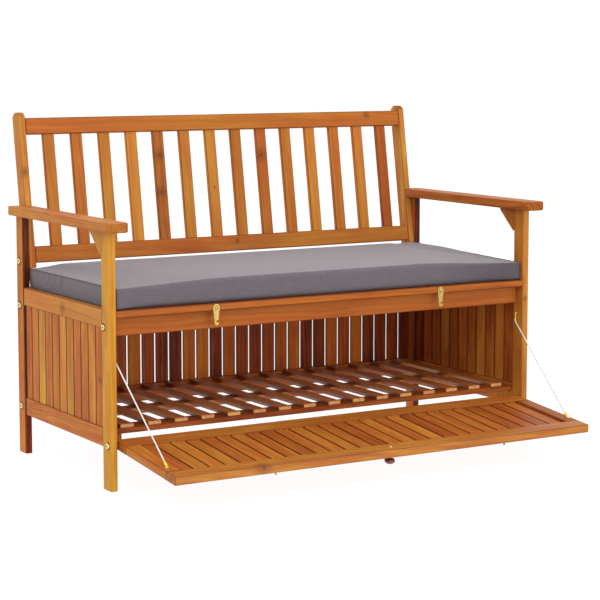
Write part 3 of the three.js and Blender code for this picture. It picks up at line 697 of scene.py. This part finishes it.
stay = {
    "diameter": 0.003,
    "upperTip": (0.5592, -0.126516, 0.3043),
    "bend": (0.5592, -0.126516, 0.3004),
    "lowerTip": (0.5452, -0.3484, 0.1023),
    "lowerAnchor": (0.5452, -0.36036, 0.09098),
    "upperAnchor": (0.5617, -0.126516, 0.3200),
    "strands": 3,
    "twistLength": 0.011,
    "strandDepth": 0.10,
    "ringSpacing": 0.0012,
    "ferruleLong": 0.0128,
    "ferruleRadius": 0.00245,
}


def stayPoint(key, side):
    x, y, z = stay[key]
    return Vector((side * x, y, z))


def ropePath(side):
    upper, bend, lower = (stayPoint(key, side) for key in ("upperTip", "bend", "lowerTip"))
    along = (lower - bend).normalized()
    corner = [upper, bend.lerp(upper, 0.4), bend + along * 0.008]
    path = []
    for step in range(7):  # a short bend under the ferrule
        t = step / 6
        path.append(corner[0].lerp(corner[1], t).lerp(corner[1].lerp(corner[2], t), t))
    rest = int((lower - path[-1]).length / stay["ringSpacing"])
    return path + [path[-1].lerp(lower, (k + 1) / rest) for k in range(rest)]


def twistedRope(name, path, around=18):
    radius, depth = stay["diameter"] / 2, stay["strandDepth"]
    points, uvs = [], []
    length = 0.0
    normal = Vector((1, 0, 0))
    for i, place in enumerate(path):
        tangent = (path[min(i + 1, len(path) - 1)] - path[max(i - 1, 0)]).normalized()
        normal = (normal - tangent * normal.dot(tangent)).normalized()
        across = tangent.cross(normal)
        if i:
            length += (place - path[i - 1]).length
        turn = 2 * math.pi * length / stay["twistLength"]
        for k in range(around):
            angle = 2 * math.pi * k / around
            lobe = abs(math.cos(stay["strands"] * (angle - turn) / 2))
            r = radius * (1 - depth + 2 * depth * lobe)
            points.append(place + (normal * math.cos(angle) + across * math.sin(angle)) * r)
            uvs.append((k / around, length))
    rope = meshPiece(name, points, tubeFaces(len(path), around))
    layer = rope.data.uv_layers.new(name="rope")
    for loop in rope.data.loops:
        layer.data[loop.index].uv = uvs[loop.vertex_index]
    return rope


# A crimped sleeve: two waists pressed into a tube.
def ferruleProfile(length, radius):
    shape = [(0, 0.0), (0, radius * 0.86), (length * 0.05, radius)]
    for at, share in ((0.20, 1.0), (0.28, 0.86), (0.36, 0.86), (0.44, 1.0), (0.58, 1.0),
                      (0.66, 0.86), (0.74, 0.86), (0.82, 1.0), (0.95, 1.0)):
        shape.append((length * at, radius * share))
    return shape + [(length, radius * 0.8), (length, 0.0)]


eyeProfile = [
    (0.0003, 0.0), (0.0003, 0.0040), (0.0008, 0.0044), (0.0016, 0.0044), (0.0021, 0.0040), (0.0021, 0.0),
]
neckProfile = [(0, 0.0), (0, 0.0015), (0.002, 0.0016), (0.004, 0.0017), (0.004, 0.0)]


# A flat eye that a screw goes through, and the crimped ferrule that leaves it.
def stayEnd(name, anchor, away, tip, towards, wide):
    long = stay["ferruleLong"]
    towards, wide = Vector(towards).normalized(), Vector(wide)
    eye = turnedPiece(name, eyeProfile, anchor, away, 28)
    profile = ferruleProfile(long, stay["ferruleRadius"])
    sleeve = turnedPiece(name + "_sleeve", profile, tip - towards * long, towards, 24)
    for vertex in sleeve.data.vertices:  # pressed flat: wider than it is thick
        vertex.co += wide * (vertex.co - tip).dot(wide) * 0.6
    neck = turnedPiece(name + "_neck", neckProfile, tip - towards * (long + 0.003), towards, 16)
    return joined(name, [eye, sleeve, neck])


flapOut = Vector((0, -0.0993, 0.995))  # out of the flap's inner face
for side, word in sides:
    path = ropePath(side)
    rope = twistedRope(f"rope_{word}", path)
    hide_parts(f"stay_rope_{word}")
    dressed(rope, ropeCotton, None)
    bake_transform(rope)
    lowerEye = stayPoint("lowerAnchor", side) - flapOut * 0.0003
    for end, body, anchor, away, towards, wide in (
        ("upper", "frame", stayPoint("upperAnchor", side), (-side, 0, 0), (0, 0, -1), (0, 1, 0)),
        ("lower", "flap", lowerEye, flapOut, path[-2] - path[-1], (1, 0, 0)),
    ):
        tip = stayPoint(end + "Tip", side)
        piece = stayEnd(f"rope_end_{end}_{word}", anchor, away, tip, towards, wide)
        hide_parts(f"stay_end_{end}_{word}")
        dressed(piece, goldBrass, body)


# fasteners by Geometry Nodes


# sizes are its number inputs with their first values, and others its further inputs as (name, kind).
def newTree(name, sizes, others):
    tree = bpy.data.node_groups.new(name, "GeometryNodeTree")
    tree.interface.new_socket("Geometry", in_out="INPUT", socket_type="NodeSocketGeometry")
    for label, value in sizes.items():
        kind = "NodeSocketInt" if isinstance(value, int) else "NodeSocketFloat"
        tree.interface.new_socket(label, in_out="INPUT", socket_type=kind).default_value = value
    for label, kind in others:
        tree.interface.new_socket(label, in_out="INPUT", socket_type="NodeSocket" + kind)
    tree.interface.new_socket("Geometry", in_out="OUTPUT", socket_type="NodeSocketGeometry")
    return tree, tree.nodes.new("NodeGroupInput").outputs, tree.nodes.new("NodeGroupOutput").inputs[0]


def withMaterial(geometry, material, selection=None):
    return firstOut(treeOf(geometry), "GeometryNodeSetMaterial", geometry, selection, material)


def gathered(*parts):
    node = addNode(treeOf(*parts), "GeometryNodeJoinGeometry")
    for part in parts:
        setSocket(node.inputs[0], part)
    return node.outputs[0]


woodScrew = {
    "Head Radius": 0.0040,
    "Head Height": 0.0011,
    "Top Share": 0.72,
    "Recess Points": 4,
    "Recess Outer": 0.0023,
    "Recess Inner": 0.0007,
    "Recess Depth": 0.0009,
}


# A domed head with a star or hexagon recess, set on every point and turned at random.
def fastenerTree():
    others = [("Facing", "Rotation"), ("Material", "Material"), ("Recess Material", "Material")]
    tree, give, leave = newTree("fastenerHeads", dict(woodScrew, Seed=1), others)

    def lifted(shape):
        return firstOut(tree, "GeometryNodeTransform", shape, Translation=together(z=give["Head Height"]))

    grid = firstOut(tree, "GeometryNodeMeshGrid", 1.0, 1.0, 33, 6)
    spotX, spotY, _ = apart(firstOut(tree, "GeometryNodeInputPosition"))
    angle = times(plus(spotX, 0.5), -2 * math.pi)
    lift = times(plus(spotY, 0.5), math.pi / 2)
    topRadius = times(give["Head Radius"], give["Top Share"])
    radius = timesPlus(minus(give["Head Radius"], topRadius), calc("COSINE", lift), topRadius)
    ringSide = together(
        times(radius, calc("COSINE", angle)),
        times(radius, calc("SINE", angle)),
        times(give["Head Height"], calc("SINE", lift)),
    )
    wall = firstOut(tree, "GeometryNodeSetPosition", grid, Position=ringSide)

    rim = firstOut(tree, "GeometryNodeCurvePrimitiveCircle", Resolution=32, Radius=topRadius)
    radii = {"Inner_Radius": give["Recess Inner"], "Outer_Radius": give["Recess Outer"]}
    star = firstOut(tree, "GeometryNodeCurveStar", give["Recess Points"], **radii)
    top = lifted(firstOut(tree, "GeometryNodeFillCurve", gathered(rim, star)))
    socketTop = lifted(firstOut(tree, "GeometryNodeFillCurve", star, mode="NGONS"))
    down = together(z=times(give["Recess Depth"], -1.0))
    depth = {"Offset": down, "Offset_Scale": 1.0, "Individual": False}
    hole = firstOut(tree, "GeometryNodeExtrudeMesh", socketTop, **depth)
    mark = {"Name": "recess", "Value": True, "data_type": "BOOLEAN", "domain": "FACE"}
    marked = firstOut(tree, "GeometryNodeStoreNamedAttribute", hole, **mark)
    welded = firstOut(tree, "GeometryNodeMergeByDistance", gathered(wall, top, marked), Distance=0.00001)

    spin = addNode(tree, "FunctionNodeRandomValue", Seed=give["Seed"], data_type="FLOAT")
    spin.inputs[2].default_value = 0.0
    spin.inputs[3].default_value = 2 * math.pi
    what = {"Instance": welded, "Rotation": give["Facing"]}
    placed = firstOut(tree, "GeometryNodeInstanceOnPoints", give["Geometry"], **what)
    turn = {"Rotation": together(z=spin.outputs[1]), "Local_Space": True}
    turned = firstOut(tree, "GeometryNodeRotateInstances", placed, **turn)
    painted = withMaterial(firstOut(tree, "GeometryNodeRealizeInstances", turned), give["Material"])
    inRecess = firstOut(tree, "GeometryNodeInputNamedAttribute", "recess", data_type="BOOLEAN")
    setSocket(leave, withMaterial(painted, give["Recess Material"], inRecess))
    return tree


# Runs a node tree over points and returns the result as a plain mesh piece.
def grown(name, tree, points, edges, values):
    mesh = bpy.data.meshes.new(name + "_points")
    mesh.from_pydata([tuple(p) for p in points], edges, [])
    source = linked(bpy.data.objects.new(name + "_points", mesh))
    modifier = source.modifiers.new("nodes", "NODES")
    modifier.node_group = tree
    for item in tree.interface.items_tree:
        if item.item_type == "SOCKET" and item.in_out == "INPUT" and item.name in values:
            modifier[item.identifier] = values[item.name]
    made = finishedMesh(source)
    bpy.data.objects.remove(source)
    made.name = name
    return linked(bpy.data.objects.new(name, smoothed(made, 40)))


heads = fastenerTree()


def fasteners(name, kind, points, facing, body, material, seed):
    turn = tuple(Vector(facing).to_track_quat("Z", "Y").to_euler())
    values = dict(kind, Facing=turn, Seed=seed, Material=material)
    values["Recess Material"] = darkRecess
    piece = grown(name, heads, points, [], values)
    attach(piece, body)
    return piece


connector = {
    "Head Radius": 0.0072,
    "Head Height": 0.0026,
    "Top Share": 0.84,
    "Recess Points": 3,
    "Recess Outer": 0.0030,
    "Recess Inner": 0.0030,
    "Recess Depth": 0.0024,
}
boltShadowRing = {  # painted shadow: a thin dark ring round each bolt, for the shade of the counterbore it sits in
    "Head Radius": 0.0094,
    "Head Height": 0.0003,
    "Top Share": 0.96,
    "Recess Points": 8,
    "Recess Outer": 0.0060,
    "Recess Inner": 0.0058,
    "Recess Depth": 0.0001,
}
boltPlaces = [(0.349, 0.471), (0.349, 0.3635), (0.349, 0.116), (-0.1235, 0.3675)]  # (y, z) on the legs
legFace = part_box("leg_front_right")[1].x
for side, word in sides:
    out = (side, 0, 0)
    bolts = [Vector((side * legFace, y, z)) for y, z in boltPlaces]
    pivot = middleOf(f"pivot_bolt_{word}")
    pivot.x = side * legFace
    pivotHead = fasteners(f"pivot_head_{word}", connector, [pivot], out, "frame", paleZinc, 4)
    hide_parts(f"pivot_bolt_{word}")
    fasteners(f"leg_bolts_{word}", connector, bolts, out, "frame", paleZinc, 3)
    # painted shadow rings round the bolts and the pivot
    fasteners(f"bolt_holes_{word}", boltShadowRing, bolts + [pivot], out, "frame", darkRecess, 8)

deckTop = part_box("seat_deck")[1]
deckSpots = [
    Vector((x, deckTop.y - 0.025 - i * deckPitch, deckTop.z - 0.0006))
    for i in range(7)
    for x in (-0.542, -0.18, 0.18, 0.542)
]
fasteners("deck_screws", woodScrew, deckSpots, (0, 0, 1), "frame", paleZinc, 7)

for side, word in sides:
    upper = stayPoint("upperAnchor", side) + Vector((-side * 0.0021, 0, 0))
    fasteners(f"rope_screw_upper_{word}", woodScrew, [upper], (-side, 0, 0), "frame", whiteMetal, 5)
    lower = stayPoint("lowerAnchor", side) + flapOut * 0.0018
    fasteners(f"rope_screw_lower_{word}", woodScrew, [lower], flapOut, "flap", whiteMetal, 6)
fasteners("knob_screw", woodScrew, [Vector((0, -0.4032, 0.0863))], flapOut, "flap", whiteMetal, 9)
print("fasteners made")


# knob and catch pins

knob = {
    "foot": (0, -0.40119, 0.06637),
    "radius": 0.0125,
    "long": 0.021,
    "profile": [  # (share of the length, share of the radius)
        (0.0, 0.58), (0.06, 0.61), (0.10, 0.52), (0.16, 0.47), (0.28, 0.49), (0.36, 0.70), (0.44, 0.90),
        (0.54, 0.985), (0.62, 1.0), (0.72, 0.96), (0.82, 0.84), (0.90, 0.66), (0.96, 0.42), (0.99, 0.2),
    ],
}
knobProfile = [(knob["long"] * z, knob["radius"] * r) for z, r in knob["profile"]]
knobProfile = [(0, 0.0)] + knobProfile + [(knob["long"], 0.0)]
knobPiece = turnedPiece("knob", rounded(knobProfile), knob["foot"], -flapOut, 48)
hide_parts("flap_knob")
dressed(knobPiece, lacquer, "flap")
for _, word in sides:
    dressNode(f"catch_pin_{word}", shadedPinBrass)
    dressNode(f"hook_{word}", brass)
    dressNode(f"hook_screw_{word}", brass)
print("knob and pins made")


# cushion

cushion = {
    "shrink": 0.003,
    "endCorner": 0.0045,
    "longCorner": 0.0095,  # the soft front and back edges, where the cover wraps round
    "firmEnd": 0.05,  # how far in from the ends the cover is held flat by its seams
    "cell": 0.0095,
    "cellsLong": 115,
    "pressure": 4.0,
    "frames": 20,
    "mostMoved": 0.010,
    "crownRear": 0.0095,
    "crownFront": 0.0085,
    "reachRear": 0.08,  # how far from the ends the pad has its full height
    "reachFront": 0.30,
    "middleRise": 0.0015,
    "rearRightRise": 0.0072,
    "frontRightSag": 0.0035,
    "rightReach": 0.0018,
    "leftLean": 0.0040,  # the rear left corner leans towards the leg beside it
    "swell": 0.001,
    "weltRadius": 0.0013,
    "stitchInset": 0.0045,
    "colour": (92, 85, 91),
    # the darker weave threads, and also the painted shade towards the right end
    "darkThreadAndShadeColour": (72, 66, 70),
    "slubColour": (152, 145, 150),
    "wornColour": (116, 109, 115),
    # the seam thread, and also the painted shade along the end seams and the bottom
    "seamThreadAndShadeColour": (46, 42, 46),
}
stitch = {"Pitch": 0.0062, "Length": 0.0036, "Thread Radius": 0.0004}
clothStiffness = {
    "quality": 5,
    "mass": 0.3,
    "tension_stiffness": 40,
    "compression_stiffness": 40,
    "shear_stiffness": 20,
    "bending_stiffness": 4,
}
cushionLow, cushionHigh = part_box("seat_cushion")
cushionMiddle = (np.array(cushionLow) + np.array(cushionHigh)) / 2
cushionHalf = (np.array(cushionHigh) - np.array(cushionLow)) / 2


def clothMaterial():
    material, tree = newMaterial("grey_cloth")
    place = objectPlace(tree)
    threads = {"Scale": 420.0, "Distortion": 0.6, "Detail": 1.0}
    waves = [
        addNode(tree, "ShaderNodeTexWave", place, bands_direction=way, **threads) for way in ("X", "DIAGONAL")
    ]
    weave = times(waves[0].outputs[1], waves[1].outputs[1])
    slubs = noise(place, (60, 900, 900))
    worn = noise(place, 7.0, 3.0, 0.55)
    creases = noise(place, (5, 16, 22), 3.0, 0.6)
    colour = blended(weave, srgb(cushion["darkThreadAndShadeColour"]), srgb(cushion["colour"]))
    colour = blended(times(slubs, 0.35), colour, srgb(cushion["slubColour"]))
    colour = blended(times(worn, 0.25), colour, srgb(cushion["wornColour"]))
    x, _, z = apart(place)
    # painted shade: the cloth darkens towards the right end
    colour = blended(spreadOut(x, 0.24, 0.54, 0.0, 0.60), colour, srgb(cushion["darkThreadAndShadeColour"]))
    # painted shade: a dark line along the top of each end seam, partly the seam and partly its shadow, and a
    # dark band along the bottom, a painted contact shadow where the cushion rests
    ending = calc("ABSOLUTE", minus(x, cushionMiddle[0]))
    ending = spreadOut(ending, cushionHalf[0] - 0.0040, cushionHalf[0] - 0.0020)
    upper = spreadOut(z, cushionHigh.z - 0.0035, cushionHigh.z - 0.0015)
    lower = spreadOut(z, cushionLow.z + 0.0045, cushionLow.z + 0.0015)
    seam = larger(times(times(ending, upper), 0.75), times(lower, 0.85))
    surface(
        tree,
        Base_Color=blended(seam, colour, srgb(cushion["seamThreadAndShadeColour"])),
        Roughness=timesPlus(worn, 0.12, 0.80),
        Normal=bumped(timesPlus(weave, 0.12, creases), 0.35, 0.004),
        Sheen_Weight=0.50,
        Sheen_Roughness=0.4,
        Sheen_Tint=(0.92, 0.88, 0.93, 1),
        Specular_IOR_Level=0.15,
    )
    return material


def smoothStep(value):
    value = np.clip(value, 0, 1)
    return value * value * (3 - 2 * value)


# Positions across one side of the cushion: even cells, with finer ones round the two long edges.
def stepsAcross(low, high):
    corner = cushion["longCorner"]
    cells = max(2, round((high - low - 2 * corner) / cushion["cell"]))
    inner = np.linspace(low + corner, high - corner, cells + 1)
    fine = corner * np.tan(np.radians([15.0, 30.0, 45.0]))
    return np.concatenate([low + corner - fine[::-1], inner, high - corner + fine])


def fromEnds(points):
    return cushionHalf[0] - np.abs(points[:, 0] - cushionMiddle[0])


# The cushion's cover as one closed skin, with soft long edges and crisp sewn-in ends.
def cushionCover():
    near = np.array([0.0, 0.0025, 0.007])
    even = np.linspace(cushionLow.x, cushionHigh.x, cushion["cellsLong"] + 1)[2:-2]
    along = np.concatenate([cushionLow.x + near, even, cushionHigh.x - near[::-1]])
    across = stepsAcross(cushionLow.y, cushionHigh.y)
    upright = stepsAcross(cushionLow.z, cushionHigh.z)
    points, numbers, faces = [], {}, []
    stepX, stepY, stepZ = np.eye(3, dtype=int)

    def cell(i, j, k, first, second):  # one face, from its corner and its two sides
        corners = []
        for step in (0, first, first + second, second):
            key = tuple((np.array((i, j, k)) + step).tolist())
            if key not in numbers:
                numbers[key] = len(points)
                points.append((along[key[0]], across[key[1]], upright[key[2]]))
            corners.append(numbers[key])
        faces.append(tuple(corners))

    lastX, lastY, lastZ = len(along) - 1, len(across) - 1, len(upright) - 1
    for j in range(lastY):
        for k in range(lastZ):
            cell(0, j, k, stepZ, stepY)
            cell(lastX, j, k, stepY, stepZ)
    for i in range(lastX):
        for j in range(lastY):
            cell(i, j, 0, stepY, stepX)
            cell(i, j, lastZ, stepX, stepY)
        for k in range(lastZ):
            cell(i, 0, k, stepX, stepZ)
            cell(i, lastY, k, stepZ, stepX)
    points = np.array(points)
    endCorner = cushion["endCorner"]
    corner = endCorner + (cushion["longCorner"] - endCorner) * smoothStep(fromEnds(points) / 0.10)
    middle, half = cushionMiddle[1:], cushionHalf[1:] - corner[:, None]
    outside = points[:, 1:] - middle - np.clip(points[:, 1:] - middle, -half, half)
    reach = np.abs(outside).max(axis=1)
    length = np.linalg.norm(outside, axis=1)
    rounding = np.where(length > 1e-9, reach / np.maximum(length, 1e-9), 1.0)
    points[:, 1:] -= outside * (1 - rounding)[:, None]
    seams = []
    for i in (0, lastX):
        for j in range(lastY):
            seams += [(numbers[i, j, k], numbers[i, j + 1, k]) for k in (0, lastZ)]
        for k in range(lastZ):
            seams += [(numbers[i, j, k], numbers[i, j, k + 1]) for j in (0, lastY)]
    return points, faces, seams


# Blows the pad up with a cloth simulation and limits how far each point moves.
def inflate(piece):
    start = np.array([v.co for v in piece.data.vertices])
    cloth = piece.modifiers.new("cloth", "CLOTH")
    for key, value in clothStiffness.items():
        setattr(cloth.settings, key, value)
    cloth.settings.use_pressure = True
    cloth.settings.uniform_pressure_force = cushion["pressure"]
    cloth.settings.effector_weights.gravity = 0
    cloth.collision_settings.use_collision = False
    cloth.point_cache.frame_start, cloth.point_cache.frame_end = 1, cushion["frames"]
    scene = bpy.context.scene
    for number in range(1, cushion["frames"] + 1):
        scene.frame_set(number)
    moved = np.array([v.co for v in finishedMesh(piece).vertices]) - start
    far = np.linalg.norm(moved, axis=1, keepdims=True)
    moved *= np.minimum(1, cushion["mostMoved"] / np.maximum(far, 1e-9))
    piece.modifiers.clear()
    scene.frame_set(1)
    return start + moved


# The top's height over a flat cushion: a crown that starts at the ends, and a firmer rear right corner.
def cushionRise(full):
    fromEnd = fromEnds(full)
    fromFront = cushionHalf[1] - np.abs(full[:, 1] - cushionMiddle[1])
    back = (full[:, 1] - cushionLow.y) / (2 * cushionHalf[1])
    reach = cushion["reachFront"] + (cushion["reachRear"] - cushion["reachFront"]) * back
    crown = cushion["crownFront"] + (cushion["crownRear"] - cushion["crownFront"]) * back
    rise = crown * smoothStep(fromEnd / reach)
    rise += cushion["middleRise"] * smoothStep(np.minimum(fromEnd, fromFront) / 0.10)
    rightward = smoothStep(1 - (cushionHigh.x - full[:, 0]) / 0.30)
    rise = np.maximum(rise, cushion["rearRightRise"] * rightward * smoothStep((back - 0.3) / 0.45))
    return rise - cushion["frontRightSag"] * rightward * smoothStep(1 - back / 0.4)


# The cover's place from its flat outline: crowned on top, flat below, and leaning a little at the ends.
def crowned(full):
    shaped = full.copy()
    upper = smoothStep((full[:, 2] - cushionMiddle[2]) / cushionHalf[2])
    shaped[:, 2] = np.maximum(full[:, 2] + cushionRise(full) * upper, cushionLow.z + 0.0004)
    leftward = smoothStep(1 - (full[:, 0] - cushionLow.x) / 0.02)
    back = smoothStep((full[:, 1] - cushionMiddle[1]) / cushionHalf[1])
    shaped[:, 0] -= cushion["leftLean"] * leftward * back * smoothStep((full[:, 2] - cushionLow.z) / 0.03)
    shaped[:, 0] += cushion["rightReach"] * smoothStep(1 - (cushionHigh.x - full[:, 0]) / 0.02)
    return shaped


def shapeCushion():
    full, faces, seams = cushionCover()
    foam = cushionMiddle + (full - cushionMiddle) * (1 - cushion["shrink"] / cushionHalf)
    mesh = bpy.data.meshes.new("cushion")
    mesh.from_pydata(foam.tolist(), [], faces)
    mesh.update()
    pad = linked(bpy.data.objects.new("cushion", mesh))
    blown = inflate(pad)
    # between its sewn-in ends the cover swells a little past its flat outline
    free = smoothStep(fromEnds(full) / cushion["firmEnd"])
    points = full + (blown - foam) * free[:, None]
    limit = cushionHalf[:2] + cushion["swell"]
    points[:, :2] = cushionMiddle[:2] + np.clip(points[:, :2] - cushionMiddle[:2], -limit, limit)
    shaped = crowned(full)
    points[:, 0] += shaped[:, 0] - full[:, 0]
    points[:, 2] = shaped[:, 2]
    pad.data.vertices.foreach_set("co", points.ravel())
    shape = bmesh.new()
    shape.from_mesh(pad.data)
    crease = shape.edges.layers.float.new("crease_edge")
    shape.verts.ensure_lookup_table()
    for first, second in seams:
        shape.edges.get((shape.verts[first], shape.verts[second]))[crease] = 1.0
    shape.to_mesh(pad.data)
    shape.free()
    rounder = pad.modifiers.new("subdivide", "SUBSURF")
    rounder.levels = rounder.render_levels = 1
    finished = smoothed(finishedMesh(pad), 50)
    pad.modifiers.clear()
    pad.data = finished
    return pad


pad = shapeCushion()
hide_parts("seat_cushion")
dressed(pad, clothMaterial(), "cushion")


# Points round one sewn-in end, pulled onto the cover.
def seamLoop(side, inset=0.0):
    coverTree = BVHTree.FromObject(pad, bpy.context.evaluated_depsgraph_get())
    x = cushionHigh.x - inset if side > 0 else cushionLow.x + inset
    corner = cushion["endCorner"]
    y0, y1 = cushionLow.y + corner, cushionHigh.y - corner
    z0, z1 = cushionLow.z + corner, cushionHigh.z - corner
    outline = []
    for centreY, centreZ, first in ((y1, z1, 0), (y0, z1, 90), (y0, z0, 180), (y1, z0, 270)):
        for k in range(7):
            angle = math.radians(first + 15 * k)
            outline.append((x, centreY + corner * math.cos(angle), centreZ + corner * math.sin(angle)))
    outline = [Vector(place) for place in crowned(np.array(outline))]
    pulled = []
    for a, b in zip(outline, outline[1:] + outline[:1]):
        steps = max(1, round((b - a).length / 0.007))
        for k in range(steps):
            place, normal, _, _ = coverTree.find_nearest(a.lerp(b, k / steps))
            place.z = max(place.z, cushionLow.z + cushion["weltRadius"])
            pulled.append((place, normal))
    return pulled


# A row of short threads along the points' edges, one every Pitch.
def stitchTree():
    tree, give, leave = newTree("stitchRow", stitch, [("Material", "Material")])
    line = firstOut(tree, "GeometryNodeMeshToCurve", give["Geometry"])
    spaced = firstOut(tree, "GeometryNodeResampleCurve", line, Length=give["Pitch"], mode="LENGTH")
    ball = firstOut(tree, "GeometryNodeMeshUVSphere", 6, 5, give["Thread Radius"])
    stretch = calc("DIVIDE", give["Length"], times(give["Thread Radius"], 2.0))
    thread = firstOut(tree, "GeometryNodeTransform", ball, Scale=together(1.0, 1.0, stretch))
    tangent = firstOut(tree, "GeometryNodeInputTangent")
    lay = firstOut(tree, "FunctionNodeAlignRotationToVector", Vector=tangent, axis="Z")
    placed = firstOut(tree, "GeometryNodeInstanceOnPoints", spaced, Instance=thread, Rotation=lay)
    real = firstOut(tree, "GeometryNodeRealizeInstances", placed)
    setSocket(leave, withMaterial(real, give["Material"]))
    return tree


def weltMesh(name, loop, around=8):
    points, radius = [], cushion["weltRadius"]
    for i, (place, normal) in enumerate(loop):
        tangent = (loop[(i + 1) % len(loop)][0] - loop[i - 1][0]).normalized()
        outward = (normal - tangent * normal.dot(tangent)).normalized()
        across = tangent.cross(outward)
        for k in range(around):
            angle = 2 * math.pi * k / around
            points.append(place + (outward * math.cos(angle) + across * math.sin(angle)) * radius)
    return meshPiece(name, points, tubeFaces(len(loop), around, closed=True))


# the seam cloth's dark colour is partly the seam thread and partly painted shade along the seam line
seamCloth, seamTree = newMaterial("grey_seam")
seamNoise = noise(objectPlace(seamTree), 600.0)
surface(
    seamTree,
    Base_Color=blended(seamNoise, srgb(cushion["seamThreadAndShadeColour"]), srgb(cushion["colour"])),
    Roughness=timesPlus(seamNoise, 0.1, 0.8),
    Normal=bumped(seamNoise, 0.3, 0.0003),
    Sheen_Weight=0.2,
)
stitching = stitchTree()
for side, word in sides:
    dressed(weltMesh(f"cushion_welt_{word}", seamLoop(side)), seamCloth, "cushion")
    row = [place for place, _ in seamLoop(side, cushion["stitchInset"])]
    around = [(k, (k + 1) % len(row)) for k in range(len(row))]
    stitches = grown(f"cushion_stitches_{word}", stitching, row, around, dict(stitch, Material=seamCloth))
    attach(stitches, "cushion")
print("cushion made")


# floor and light

studio = {
    "floorHalf": 20,
    "floor": (0.12, 0.12, 0.12, 1),
    "floorGlow": 0.94,  # a lit white table: it keeps the shadows pale
    "world": 1.02,
    "lights": {  # place, target, size, power
        "key": ((-2.6, -3.4, 2.6), (0, 0, 0.4), 2.4, 36),
        "fill": ((0.5, -4.4, 0.75), (0.2, 0, 0.2), 2.4, 58),
        "top": ((0.2, -0.2, 3.4), (0, 0, 0.4), 2.6, 20),
    },
}
half = studio["floorHalf"]
corners = [(-half, -half, 0), (half, -half, 0), (half, half, 0), (-half, half, 0)]
floorMesh = meshPiece("studio_floor", corners, [(0, 1, 2, 3)])
floorPaint, floorTree = newMaterial("studio_floor")
surface(
    floorTree,
    Base_Color=studio["floor"],
    Roughness=0.9,
    Specular_IOR_Level=0.0,
    Emission_Color=(1, 1, 1, 1),
    Emission_Strength=studio["floorGlow"],
)
floorMesh.data.materials.append(floorPaint)

world = bpy.data.worlds.new("studio")
bpy.context.scene.world = world
world.use_nodes = True
background = world.node_tree.nodes["Background"].inputs
background["Color"].default_value = (1, 1, 1, 1)
background["Strength"].default_value = studio["world"]

for name, (place, target, size, power) in studio["lights"].items():
    lamp = bpy.data.lights.new(name, "AREA")
    lamp.shape, lamp.size, lamp.energy = "DISK", size, power
    light = linked(bpy.data.objects.new(name, lamp))
    light.location = place
    light.rotation_euler = (Vector(target) - Vector(place)).to_track_quat("-Z", "Y").to_euler()
bpy.context.scene.view_settings.view_transform = "Standard"
print("floor and light set")
